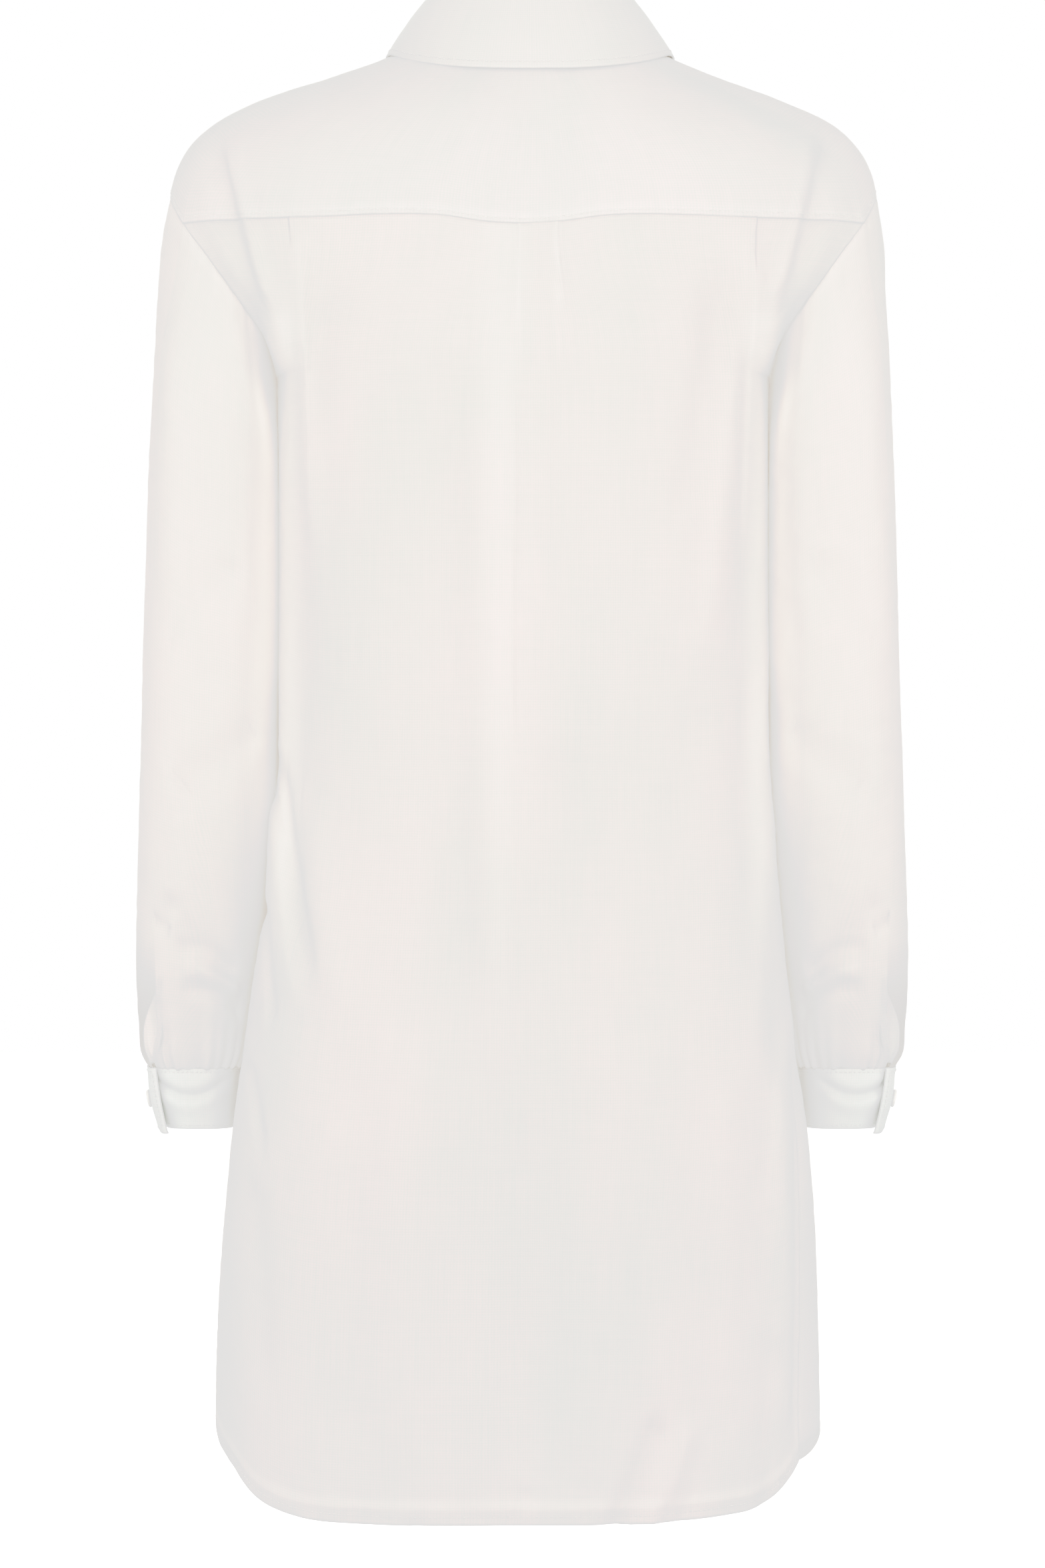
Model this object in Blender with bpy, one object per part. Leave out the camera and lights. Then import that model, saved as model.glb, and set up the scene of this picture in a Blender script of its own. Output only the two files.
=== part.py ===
"""A woman's long shirt with a dipped back hem, hollow and filled out as if worn.

Metres, +Z up. The shirt's back faces -Y. The origin is where the wearer's shoulders hold it, midway between
the two shoulder points and level with the lower edge of the collar. A drop is a depth below that origin.
The side with negative x is called left, as it is seen from behind.
"""

import math

import bmesh
import bpy
import numpy as np

# Cloth walls
CLOTH = 0.0012
STIFF = 0.0016
SEAM = 0.0003

# Lengths down the body
UNDERARM_DROP = 0.195
SIDE_HEM = {-1: 0.8150, 1: 0.8310}
CUFF_TOP = 0.6075
CUFF_DEPTH = 0.0360

# Collar
STAND_RISE = 0.030
STAND_LEAN = 0.0180
STAND_CLEAR = 0.0014
STAND_LAP = 10.0
STAND_SLOPE = 0.004
NECK_SHIFT = 0.004
COLLAR_OPEN = 170.0

# Degrees round the neck from the centre back: the yoke's end above the armhole, and its end in front
YOKE_SIDE = 62.0
YOKE_FRONT = 105.0
# Turns round the armhole, from its top towards the back
ARMHOLE_YOKE_BACK = 0.11
ARMHOLE_UNDERARM = 0.50
ARMHOLE_YOKE_FRONT = 0.93

# Front band and buttons
BAND_HALF = 0.015
BUTTON_RADIUS = 0.0055
BUTTON_THICK = 0.0022
FIRST_BUTTON_DROP = 0.105
BUTTON_STEP = 0.092
BUTTON_COUNT = 7

# How full the body's section is: near 0.55 it is an ellipse, and higher is squarer
FLAT = 0.62
ROUND = 0.58

IVORY = (0.865, 0.845, 0.815, 1.0)
PEARL = (0.90, 0.89, 0.86, 1.0)


def table(names, *rows):
    """A table with named columns, each an array of one value a row."""
    return dict(zip(names.split(), np.array(rows, dtype=float).T))


# Half widths to the left and right, depths to the back and front, and how far behind the shoulders the body
# is widest, at each drop
BODY = table(
    "drop left right back front widest",
    (0.195, 0.1453, 0.1456, -0.1165, 0.1100, 0.000),
    (0.260, 0.1450, 0.1456, -0.1170, 0.1160, -0.006),
    (0.340, 0.1450, 0.1458, -0.1140, 0.1120, -0.010),
    (0.420, 0.1457, 0.1465, -0.1140, 0.1060, -0.016),
    (0.480, 0.1495, 0.1505, -0.1195, 0.1060, -0.022),
    (0.560, 0.1605, 0.1575, -0.1290, 0.1120, -0.032),
    (0.620, 0.1688, 0.1655, -0.1350, 0.1170, -0.036),
    (0.680, 0.1758, 0.1717, -0.1385, 0.1190, -0.032),
    (0.740, 0.1803, 0.1743, -0.1405, 0.1190, -0.026),
    (0.800, 0.1824, 0.1757, -0.1415, 0.1180, -0.022),
    (0.865, 0.1824, 0.1758, -0.1420, 0.1170, -0.020),
)

# The back hem, from the left side seam to the right one
BACK_HEM = table(
    "across drop",
    (-1.00, 0.8150),
    (-0.86, 0.8245),
    (-0.73, 0.8345),
    (-0.60, 0.8508),
    (-0.45, 0.8596),
    (-0.28, 0.8618),
    (0.00, 0.8616),
    (0.30, 0.8612),
    (0.45, 0.8596),
    (0.60, 0.8576),
    (0.72, 0.8552),
    (0.82, 0.8500),
    (0.92, 0.8400),
    (1.00, 0.8310),
)

# The front hem, from the centre front to each side seam
FRONT_HEM = table(
    "across left right",
    (0.00, 0.8000, 0.8000),
    (0.30, 0.8025, 0.8045),
    (0.55, 0.8065, 0.8100),
    (0.76, 0.8105, 0.8190),
    (0.88, 0.8130, 0.8260),
    (1.00, 0.8150, 0.8310),
)

# The right side seam swings to the back below the hip: 1 is the body's widest point, and 0 the centre back
RIGHT_SEAM = table(
    "drop across",
    (0.195, 1.00),
    (0.340, 1.00),
    (0.480, 0.96),
    (0.600, 0.86),
    (0.680, 0.77),
    (0.760, 0.73),
    (0.865, 0.69),
)

# The yoke seam across the back, from its centre to the armhole
YOKE_SEAM = table(
    "x y drop",
    (0.000, -0.1085, 0.1120),
    (0.022, -0.1085, 0.1106),
    (0.048, -0.1078, 0.1070),
    (0.085, -0.1040, 0.1060),
    (0.115, -0.0975, 0.1066),
    (0.140, -0.0890, 0.1066),
    (0.165, -0.0760, 0.1060),
    (0.187, -0.0605, 0.1056),
    (0.201, -0.0475, 0.1056),
)

# One armhole, from its top round the back, the underarm and the front to its top again
ARMHOLE = table(
    "turn x y drop",
    (0.00, 0.2105, 0.0000, 0.0840),
    (0.06, 0.2085, -0.0280, 0.0915),
    (0.11, 0.2010, -0.0475, 0.1056),
    (0.19, 0.1870, -0.0610, 0.1250),
    (0.27, 0.1755, -0.0650, 0.1410),
    (0.35, 0.1631, -0.0620, 0.1580),
    (0.42, 0.1525, -0.0490, 0.1745),
    (0.46, 0.1483, -0.0270, 0.1880),
    (0.50, 0.1476, 0.0000, 0.1950),
    (0.54, 0.1487, 0.0270, 0.1880),
    (0.60, 0.1560, 0.0500, 0.1700),
    (0.69, 0.1700, 0.0620, 0.1480),
    (0.79, 0.1850, 0.0610, 0.1260),
    (0.88, 0.1985, 0.0480, 0.1060),
    (0.93, 0.2060, 0.0300, 0.0930),
    (1.00, 0.2105, 0.0000, 0.0840),
)

# The neckline, in degrees from the centre back to the centre front
NECKLINE = table(
    "around x y drop",
    (0, 0.0000, -0.0640, 0.0080),
    (30, 0.0370, -0.0565, 0.0065),
    (60, 0.0640, -0.0335, 0.0018),
    (80, 0.0725, -0.0125, -0.0018),
    (90, 0.0740, -0.0020, -0.0030),
    (105, 0.0735, 0.0140, -0.0020),
    (120, 0.0690, 0.0300, 0.0075),
    (140, 0.0545, 0.0475, 0.0280),
    (160, 0.0290, 0.0580, 0.0490),
    (180, 0.0000, 0.0610, 0.0580),
)

# The lower edge of the collar fall; its last row is a collar point
FALL_EDGE = table(
    "around x y drop",
    (0, 0.0000, -0.0775, 0.0170),
    (30, 0.0420, -0.0720, 0.0150),
    (60, 0.0735, -0.0440, 0.0068),
    (80, 0.0855, -0.0130, -0.0006),
    (90, 0.0872, 0.0010, -0.0012),
    (105, 0.0880, 0.0240, 0.0026),
    (120, 0.0865, 0.0480, 0.0190),
    (140, 0.0790, 0.0745, 0.0480),
    (155, 0.0690, 0.0870, 0.0740),
    (170, 0.0560, 0.0940, 0.1010),
)

# How the fall rolls over the stand's top edge, and how it bellies out on its way down to its lower edge
FALL_ROLL = table(
    "away up",
    (0.0000, 0.0021),
    (0.0010, 0.0040),
    (0.0030, 0.0044),
    (0.0048, 0.0024),
)
FALL_BELLY = table(
    "share out",
    (0.35, 0.0010),
    (0.70, 0.0008),
    (1.00, 0.0000),
)

# Sleeve sections: how far out each side of the tube lies, its middle and its half depth
SLEEVE = table(
    "drop outer_left outer_right inner_left inner_right middle deep",
    (0.080, 0.2100, 0.2100, 0.1480, 0.1480, 0.0000, 0.0560),
    (0.110, 0.2160, 0.2150, 0.1480, 0.1480, 0.0000, 0.0610),
    (0.150, 0.2185, 0.2170, 0.1482, 0.1482, 0.0000, 0.0620),
    (0.200, 0.2208, 0.2190, 0.1480, 0.1482, 0.0000, 0.0600),
    (0.280, 0.2245, 0.2225, 0.1463, 0.1469, 0.0060, 0.0570),
    (0.360, 0.2270, 0.2250, 0.1462, 0.1470, 0.0100, 0.0550),
    (0.440, 0.2295, 0.2275, 0.1478, 0.1484, 0.0140, 0.0530),
    (0.500, 0.2320, 0.2302, 0.1535, 0.1532, 0.0180, 0.0510),
    (0.545, 0.2328, 0.2310, 0.1590, 0.1570, 0.0200, 0.0480),
    (0.585, 0.2312, 0.2294, 0.1640, 0.1610, 0.0245, 0.0440),
    (0.600, 0.2294, 0.2276, 0.1668, 0.1632, 0.0260, 0.0410),
    (0.608, 0.2250, 0.2230, 0.1705, 0.1664, 0.0270, 0.0380),
)

# Cuff sections, read as the sleeve's are
CUFF = table(
    "down outer_left outer_right inner_left inner_right middle deep",
    (0.00, 0.2250, 0.2230, 0.1705, 0.1664, 0.0270, 0.0380),
    (0.50, 0.2210, 0.2190, 0.1718, 0.1676, 0.0270, 0.0372),
    (1.00, 0.2150, 0.2130, 0.1738, 0.1692, 0.0270, 0.0355),
)

# Creases: each runs along a curve from one end past its middle to the other end. Ridges are above 0.
CREASE = "x0 drop0 x1 drop1 x2 drop2 wide high"
BACK_CREASES = table(
    CREASE,
    (-0.184, 0.050, -0.174, 0.110, -0.150, 0.178, 0.0075, -0.0060),
    (0.182, 0.044, 0.172, 0.108, 0.150, 0.176, 0.0075, -0.0055),
    (-0.010, 0.160, -0.009, 0.380, -0.004, 0.640, 0.0120, 0.0026),
    (-0.132, 0.104, -0.125, 0.160, -0.119, 0.330, 0.0080, 0.0030),
    (0.131, 0.104, 0.124, 0.200, 0.102, 0.380, 0.0085, 0.0032),
    (-0.142, 0.420, -0.133, 0.486, -0.120, 0.560, 0.0070, -0.0042),
    (-0.150, 0.440, -0.144, 0.520, -0.137, 0.600, 0.0090, 0.0032),
    (-0.153, 0.500, -0.149, 0.538, -0.146, 0.590, 0.0060, -0.0034),
    (-0.160, 0.596, -0.154, 0.632, -0.153, 0.660, 0.0060, -0.0030),
    (0.075, 0.820, 0.064, 0.842, 0.050, 0.866, 0.0070, -0.0045),
    (0.092, 0.815, 0.086, 0.842, 0.080, 0.866, 0.0085, 0.0032),
    (0.141, 0.822, 0.141, 0.840, 0.140, 0.860, 0.0080, -0.0032),
    (0.149, 0.600, 0.153, 0.720, 0.149, 0.830, 0.0080, 0.0034),
    (-0.060, 0.420, -0.068, 0.600, -0.072, 0.830, 0.0180, 0.0022),
    (0.060, 0.460, 0.072, 0.640, 0.078, 0.800, 0.0180, 0.0022),
)
FRONT_CREASES = table(
    CREASE,
    (-0.184, 0.050, -0.176, 0.110, -0.152, 0.178, 0.0080, -0.0050),
    (0.182, 0.048, 0.174, 0.108, 0.152, 0.178, 0.0080, -0.0050),
    (-0.120, 0.150, -0.098, 0.230, -0.088, 0.360, 0.0100, 0.0028),
    (0.124, 0.160, 0.104, 0.260, 0.094, 0.400, 0.0100, 0.0028),
    (-0.128, 0.430, -0.112, 0.520, -0.100, 0.640, 0.0100, -0.0030),
    (0.132, 0.440, 0.118, 0.520, 0.112, 0.620, 0.0100, -0.0030),
    (-0.060, 0.520, -0.072, 0.660, -0.080, 0.815, 0.0160, 0.0026),
    (0.058, 0.480, 0.076, 0.640, 0.088, 0.820, 0.0160, 0.0026),
)

# The box pleat's two folded edges, across the back panel, its height and where it has opened out
PLEAT_EDGES = (-0.0155, 0.1005)
PLEAT_HIGH = 0.0024
PLEAT_END_DROP = 0.190

# Sleeve creases: turn and drop at each end, width, height
SLEEVE_CREASES = table(
    "turn0 drop0 turn1 drop1 wide high",
    (0.30, 0.300, 0.16, 0.360, 0.0100, -0.0022),
    (0.36, 0.400, 0.20, 0.440, 0.0110, -0.0026),
    (0.18, 0.500, 0.34, 0.560, 0.0080, -0.0030),
    (0.62, 0.330, 0.80, 0.380, 0.0110, -0.0026),
    (0.66, 0.430, 0.88, 0.470, 0.0110, -0.0028),
    (0.70, 0.540, 0.86, 0.520, 0.0090, -0.0026),
)

# Columns across the back panel: closer at the break of each shoulder and at the pleat's edges
BACK_COLUMNS = np.array(
    [-1, -0.94, -0.885, -0.83, -0.77, -0.70, -0.62, -0.53, -0.44, -0.35, -0.26, -0.17, -0.08]
    + [-0.023, -0.008, 0.045, 0.093, 0.108, 0.18, 0.27, 0.36, 0.45, 0.54, 0.62, 0.70, 0.77]
    + [0.83, 0.885, 0.94, 1]
)
FRONT_COLUMNS = np.array([0, 0.10, 0.20, 0.29, 0.38, 0.48, 0.58, 0.68, 0.77, 0.86, 0.93, 1])
NECK_SHARE = 0.38
UPPER_ROWS = np.linspace(0, 1, 9)
LOWER_ROWS = np.array([0.07, 0.16, 0.26, 0.36, 0.45, 0.53, 0.61, 0.69, 0.78, 0.87, 0.945, 1])
YOKE_ROWS = (FRONT_COLUMNS[FRONT_COLUMNS >= NECK_SHARE] - NECK_SHARE) / (1 - NECK_SHARE)
SLEEVE_ROWS = np.array(
    [0, 0.03, 0.08, 0.16, 0.26, 0.36, 0.46, 0.56, 0.65, 0.74, 0.82, 0.87, 0.905, 0.935, 0.965, 0.985, 1]
)
SLIT_ROW = 12
SLIT_HALF = 0.0040
BINDING_WIDE = 0.0042
BINDING_THICK = 0.001
# How deep each tuck above the cuff is drawn in, on the sleeve's rows there
GATHER_ROWS = (12, 13, 14, 15)
GATHER_DEPTHS = (0.0006, 0.0012, 0.0018, 0.0016)


def follow(known, values, at):
    """Reads a smooth curve through the points (known, values)."""
    slope = np.gradient(values, known)
    at = np.clip(at, known[0], known[-1])
    i = np.clip(np.searchsorted(known, at, side="right") - 1, 0, len(known) - 2)
    span = known[i + 1] - known[i]
    t = (at - known[i]) / span
    start = (2 * t**3 - 3 * t**2 + 1) * values[i] + (t**3 - 2 * t**2 + t) * span * slope[i]
    end = (3 * t**2 - 2 * t**3) * values[i + 1] + (t**3 - t**2) * span * slope[i + 1]
    return start + end


def points(x, y, z):
    return np.stack(np.broadcast_arrays(x, y, z), axis=-1).astype(float)


def unit(vectors):
    return vectors / np.linalg.norm(vectors, axis=-1, keepdims=True)


def eased(amount):
    amount = np.clip(amount, 0, 1)
    return amount * amount * (3 - 2 * amount)


def bezier(first, second, third, fourth, t):
    return (
        (1 - t) ** 3 * first
        + 3 * (1 - t) ** 2 * t * second
        + 3 * (1 - t) * t**2 * third
        + t**3 * fourth
    )


def armhole(side, turn):
    """A point of the armhole seam; turn may run past 1."""
    known = np.concatenate([ARMHOLE["turn"][-3:-1] - 1, ARMHOLE["turn"], ARMHOLE["turn"][1:3] + 1])
    found = []
    for name in ("x", "y", "drop"):
        column = ARMHOLE[name]
        found.append(follow(known, np.concatenate([column[-3:-1], column, column[1:3]]), turn))
    return points(side * found[0], found[1], -found[2])


def round_neck(rows, around):
    """A point of a curve round the neck, from a table of its right half; around may pass 180 degrees."""
    around = (np.asarray(around, dtype=float) + 180) % 360 - 180
    known = np.concatenate([-rows["around"][:0:-1], rows["around"]])
    x = follow(known, np.concatenate([-rows["x"][:0:-1], rows["x"]]), around)
    y = follow(known, np.concatenate([rows["y"][:0:-1], rows["y"]]), around)
    drop = follow(known, np.concatenate([rows["drop"][:0:-1], rows["drop"]]), around)
    shift = NECK_SHIFT * np.clip((180 - np.abs(around)) / 60, 0, 1)
    return points(x + shift, y, -drop)


def girth(across, drop, rear):
    """A point of the body's section: across is 0 at the centre line and 1 at the side, with the side's sign."""
    a = np.abs(across)
    left = follow(BODY["drop"], BODY["left"], drop)
    right = follow(BODY["drop"], BODY["right"], drop)
    wide = np.where(across < 0, left, right)
    deep = follow(BODY["drop"], BODY["back" if rear else "front"], drop)
    widest = follow(BODY["drop"], BODY["widest"], drop)
    x = np.sign(across) * wide * (3 * (1 - a) ** 2 * a * FLAT + 3 * (1 - a) * a**2 + a**3)
    y = widest + (deep - widest) * ((1 - a) ** 3 + 3 * (1 - a) ** 2 * a + 3 * (1 - a) * a**2 * ROUND)
    return points(x, y, -drop)


def underarm_fall(across, rear):
    """The body's direction downwards at underarm level."""
    above = girth(across, UNDERARM_DROP, rear)
    below = girth(across, UNDERARM_DROP + 0.004, rear)
    return unit(below - above)


def hung(top, top_way, across, rear, edge, level):
    """Columns from a top edge to underarm level, bent at the outer edge to follow the armhole."""
    foot = girth(across, UNDERARM_DROP, rear)
    reach = 0.38 * np.linalg.norm(foot - top, axis=-1, keepdims=True)
    t = np.asarray(level)[:, None, None]
    column = bezier(
        top, top + reach * top_way, foot - reach * underarm_fall(across, rear), foot, t
    )
    # The outermost column on each side gives how far the armhole lies from a plain fall.
    for side, end in ((-1, 0), (1, -1)):
        if edge[side] is None:
            continue
        miss = edge[side] - column[:, end]
        share = eased((side * across if rear else np.abs(across)) * 2 - 1)
        column = column + miss[:, None, :] * share[None, :, None]
    return column


def yoke_seam(across):
    a = np.abs(across) * YOKE_SEAM["x"][-1]
    y = follow(YOKE_SEAM["x"], YOKE_SEAM["y"], a)
    drop = follow(YOKE_SEAM["x"], YOKE_SEAM["drop"], a)
    return points(np.sign(across) * a, y, -drop)


def yoke_fall(across):
    """The cloth's direction downwards at the yoke seam."""
    return unit(points(0.06 * across**3, -0.12 * (1 - across**2), -np.ones_like(across)))


def seam_across(side, drop):
    if side < 0:
        return np.ones_like(drop)
    return follow(RIGHT_SEAM["drop"], RIGHT_SEAM["across"], drop)


def back_surface(across, upper, lower):
    """Rows of the back from the yoke seam to the hem; upper and lower run from 0 to 1."""
    turns = ARMHOLE_YOKE_BACK + (ARMHOLE_UNDERARM - ARMHOLE_YOKE_BACK) * upper
    edge = {side: armhole(side, turns) for side in (-1, 1)}
    top = hung(yoke_seam(across), yoke_fall(across), across, True, edge, upper)
    hem = follow(BACK_HEM["across"], BACK_HEM["drop"], across)
    s = lower[:, None]
    drop = UNDERARM_DROP + (hem - UNDERARM_DROP) * s
    right_limit = seam_across(1, UNDERARM_DROP + (SIDE_HEM[1] - UNDERARM_DROP) * s)
    limit = np.where(across < 0, 1.0, right_limit)
    return np.concatenate([top, girth(across * limit, drop, True)])


def shoulder(around, turn, along):
    """The yoke's columns over the shoulder, from the neckline to the armhole."""
    side = np.sign(around)
    inner = round_neck(NECKLINE, around)
    outer = armhole(1, turn) * points(side, 1, 1)
    return yoke_columns(around, inner, outer, points(side * 0.25, 0, -0.97), along, 0.62, 0.30)


def yoke_columns(around, inner, outer, outer_way, along, first, last):
    angle = np.radians(around)
    slope = 0.450 + 0.028 * np.sin(angle) + 0.285 * np.cos(angle) ** 2
    level = np.sqrt(1 - slope**2)
    inner_way = points(np.sin(angle) * level, -np.cos(angle) * level, -slope)
    chord = np.linalg.norm(outer - inner, axis=-1, keepdims=True)
    t = np.asarray(along)[:, None, None]
    return bezier(
        inner, inner + first * chord * inner_way, outer - last * chord * unit(outer_way), outer, t
    )


def yoke_surface(across, shoulder_turns, along):
    """Rows from the neckline outwards; columns from the left front over the back to the right front."""
    back_around = across * YOKE_SIDE
    span = (shoulder_turns - ARMHOLE_YOKE_BACK) / (ARMHOLE_YOKE_FRONT - 1 - ARMHOLE_YOKE_BACK)
    side_around = YOKE_SIDE + (YOKE_FRONT - YOKE_SIDE) * span
    middle = yoke_columns(
        back_around, round_neck(NECKLINE, back_around), yoke_seam(across), yoke_fall(across), along,
        0.38, 0.38,
    )
    right = shoulder(side_around, shoulder_turns, along)
    left = shoulder(-side_around, shoulder_turns, along)
    # The last back column and the first shoulder column share their ends, so one way out is blended to the other.
    blend = eased(span)[None, :, None]
    right = right + (middle[:, -1:] - right[:, :1]) * (1 - blend)
    left = left + (middle[:, :1] - left[:, :1]) * (1 - blend)
    return np.concatenate([left[:, :0:-1], middle, right[:, 1:]], axis=1)


def front_surface(side, across, upper, lower):
    """Rows of one front from the neckline and shoulder to the hem; across is 0 at the centre front."""
    neck = across[across <= NECK_SHARE] / NECK_SHARE
    neckline = round_neck(NECKLINE, side * (180 - (180 - YOKE_FRONT) * neck))
    along = (across[across > NECK_SHARE] - NECK_SHARE) / (1 - NECK_SHARE)
    over = yoke_surface(np.array([-1.0, 1.0]), np.array([ARMHOLE_YOKE_BACK, ARMHOLE_YOKE_FRONT - 1]), along)
    top = np.concatenate([neckline, over[:, -1 if side > 0 else 0]])
    lean = np.interp(across, [0, NECK_SHARE, 1], [0.50, 0.80, 0.30])
    top_way = unit(points(side * 0.04 * across, lean, -np.sqrt(1 - lean**2)))
    turns = ARMHOLE_YOKE_FRONT + (ARMHOLE_UNDERARM - ARMHOLE_YOKE_FRONT) * upper
    edge = {side: None, -side: None}
    edge[1] = armhole(side, turns)
    column = hung(top, top_way, side * across, False, edge, upper)
    hem = follow(FRONT_HEM["across"], FRONT_HEM["left" if side < 0 else "right"], across)
    s = lower[:, None]
    drop = UNDERARM_DROP + (hem - UNDERARM_DROP) * s
    reach = across * (2 - seam_across(side, UNDERARM_DROP + (SIDE_HEM[side] - UNDERARM_DROP) * s))
    ahead = girth(side * np.minimum(reach, 1), drop, False)
    behind = girth(side * np.minimum(2 - reach, 1), drop, True)
    return np.concatenate([column, np.where(reach[..., None] > 1, behind, ahead)])


def outward(place):
    """The level direction out of the body."""
    return unit(points(place[..., 0] / 0.15**2, place[..., 1] / 0.11**2, 0))


def crease_height(x, drop, creases):
    """The height of all creases at a place on the cloth."""
    height = np.zeros(np.broadcast(x, drop).shape)
    t = np.linspace(0, 1, 25)
    for row in zip(*creases.values()):
        x0, drop0, x1, drop1, x2, drop2, wide, high = row
        path_x = (1 - t) ** 2 * x0 + 2 * (1 - t) * t * x1 + t**2 * x2
        path_drop = (1 - t) ** 2 * drop0 + 2 * (1 - t) * t * drop1 + t**2 * drop2
        away = (x[..., None] - path_x) ** 2 + (drop[..., None] - path_drop) ** 2
        nearest = away.argmin(axis=-1)
        fade = eased(np.minimum(t, 1 - t) * 5)[nearest]
        height += high * fade * np.exp(-away.min(axis=-1) / wide**2)
    return height


def creased(place, creases):
    height = crease_height(place[..., 0], -place[..., 2], creases)
    return place + outward(place) * height[..., None]


def folded(place, rear_and_front=False):
    """Body cloth with its creases: those of the back behind the shoulder line and those of the front before it."""
    back = creased(place, BACK_CREASES)
    if not rear_and_front:
        return back
    front = creased(place, FRONT_CREASES)
    share = eased(place[..., 1:2] / 0.04 + 0.5)
    return back * (1 - share) + front * share


def pleated(place, across):
    """Raises the box pleat between its two folded edges, dying out downwards."""
    inside = (across > PLEAT_EDGES[0]) & (across < PLEAT_EDGES[1])
    left = eased((PLEAT_END_DROP + place[..., 2]) / 0.07)
    return place + outward(place) * (PLEAT_HIGH * inside * left)[..., None]


def facing(place, way):
    """The cloth's own direction at each point of a panel, on the side that way points to."""
    across = np.cross(np.gradient(place, axis=0), np.gradient(place, axis=1))
    return unit(across) * np.sign((across * way).sum(axis=-1, keepdims=True))


def drawn_in(place, ends, by=SEAM / 2):
    """Moves each named edge of a panel back by half a seam, towards its own cloth."""
    place = place.copy()
    moves = {
        "top": (np.s_[0], np.s_[1]),
        "bottom": (np.s_[-1], np.s_[-2]),
        "first": (np.s_[:, 0], np.s_[:, 1]),
        "last": (np.s_[:, -1], np.s_[:, -2]),
    }
    for name in ends:
        here, inside = moves[name]
        place[here] += unit(place[inside] - place[here]) * by
    return place


def off_armhole(side, turns, inside):
    """How far a body panel moves off the armhole seam so that its wall clears the sleeve's, however sharply
    the two turn away from the seam; inside is the panel's next line of points. The sleeve moves as far back."""
    edge = armhole(side, turns)
    along = unit(np.gradient(edge, axis=0))
    ways = []
    for neighbour in (inside, sleeve_place(side, turns, SLEEVE_ROWS[:2])[1]):
        way = neighbour - edge
        ways.append(unit(way - along * (way * along).sum(axis=-1, keepdims=True)))
    closed = np.linalg.norm(ways[0] + ways[1], axis=-1, keepdims=True) / 2
    return unit(ways[0] - ways[1]) * (SEAM + (CLOTH + SEAM) * closed) / 2


def finish(name, colour, roughness):
    material = bpy.data.materials.new(name)
    material.use_nodes = True
    shader = material.node_tree.nodes["Principled BSDF"]
    shader.inputs["Base Color"].default_value = colour
    shader.inputs["Roughness"].default_value = roughness
    shader.inputs["Metallic"].default_value = 0.0
    return material


def wall(name, place, thick, joined=0):
    """A panel of cloth from rows of points. In the first `joined` rows its last column is its first."""
    rows, columns = place.shape[:2]
    mesh = bmesh.new()
    index = {}
    for i in range(rows):
        for j in range(columns):
            same = i < joined and j == columns - 1
            index[i, j] = index[i, 0] if same else mesh.verts.new(place[i, j])
    for i in range(rows - 1):
        for j in range(columns - 1):
            corners = [index[i, j], index[i + 1, j], index[i + 1, j + 1], index[i, j + 1]]
            mesh.faces.new(corners).smooth = True
    data = bpy.data.meshes.new(name)
    mesh.to_mesh(data)
    mesh.free()
    piece = bpy.data.objects.new(name, data)
    bpy.context.collection.objects.link(piece)
    solid = piece.modifiers.new("Cloth thickness", "SOLIDIFY")
    solid.thickness = thick
    solid.offset = 0.0
    data.materials.append(finish(name, IVORY, 0.85))
    return piece


def back_place():
    plain = back_surface(BACK_COLUMNS, UPPER_ROWS, LOWER_ROWS)
    place = pleated(folded(plain), BACK_COLUMNS[None, :])
    for column in (0, -1):
        place[: len(UPPER_ROWS), column] = plain[: len(UPPER_ROWS), column]
    return place


def back_move(side):
    turns = ARMHOLE_YOKE_BACK + (ARMHOLE_UNDERARM - ARMHOLE_YOKE_BACK) * UPPER_ROWS
    inside = back_place()[: len(UPPER_ROWS), 1 if side < 0 else -2]
    return off_armhole(side, turns, inside)


def make_back():
    place = back_place()
    arm = len(UPPER_ROWS)
    place[arm - 1 :] = drawn_in(place[arm - 1 :], ("first", "last"))
    place = drawn_in(place, ("top",), SEAM)
    place[:arm, 0] += back_move(-1)
    place[:arm, -1] += back_move(1)
    wall("back", place, CLOTH)


def shoulder_turns():
    return np.linspace(ARMHOLE_YOKE_BACK, ARMHOLE_YOKE_FRONT - 1, 7)


def yoke_place():
    plain = yoke_surface(BACK_COLUMNS, shoulder_turns(), YOKE_ROWS)
    place = folded(plain, True)
    arm = len(shoulder_turns())
    place[-1, :arm] = plain[-1, :arm]
    place[-1, -arm:] = plain[-1, -arm:]
    return place


def yoke_move(side):
    """In the order of shoulder_turns, from the back to the front."""
    turns = shoulder_turns()
    inside = yoke_place()[-2]
    inside = inside[: len(turns)][::-1] if side < 0 else inside[-len(turns) :]
    return off_armhole(side, turns, inside)


def make_yoke():
    place = yoke_place()
    arm = len(shoulder_turns())
    moved = place[-1].copy()
    moved[:arm] += yoke_move(-1)[::-1]
    moved[-arm:] += yoke_move(1)
    place = drawn_in(place, ("top", "bottom"))
    place[-1, :arm] = moved[:arm]
    place[-1, -arm:] = moved[-arm:]
    place = drawn_in(place, ("first", "last"), SEAM)
    wall("yoke", place[:, ::-1], CLOTH)


def front_place(side):
    plain = front_surface(side, FRONT_COLUMNS, UPPER_ROWS, LOWER_ROWS)
    place = folded(plain, True)
    place[: len(UPPER_ROWS), -1] = plain[: len(UPPER_ROWS), -1]
    return place


def front_move(side):
    turns = ARMHOLE_YOKE_FRONT + (ARMHOLE_UNDERARM - ARMHOLE_YOKE_FRONT) * UPPER_ROWS
    return off_armhole(side, turns, front_place(side)[: len(UPPER_ROWS), -2])


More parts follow.
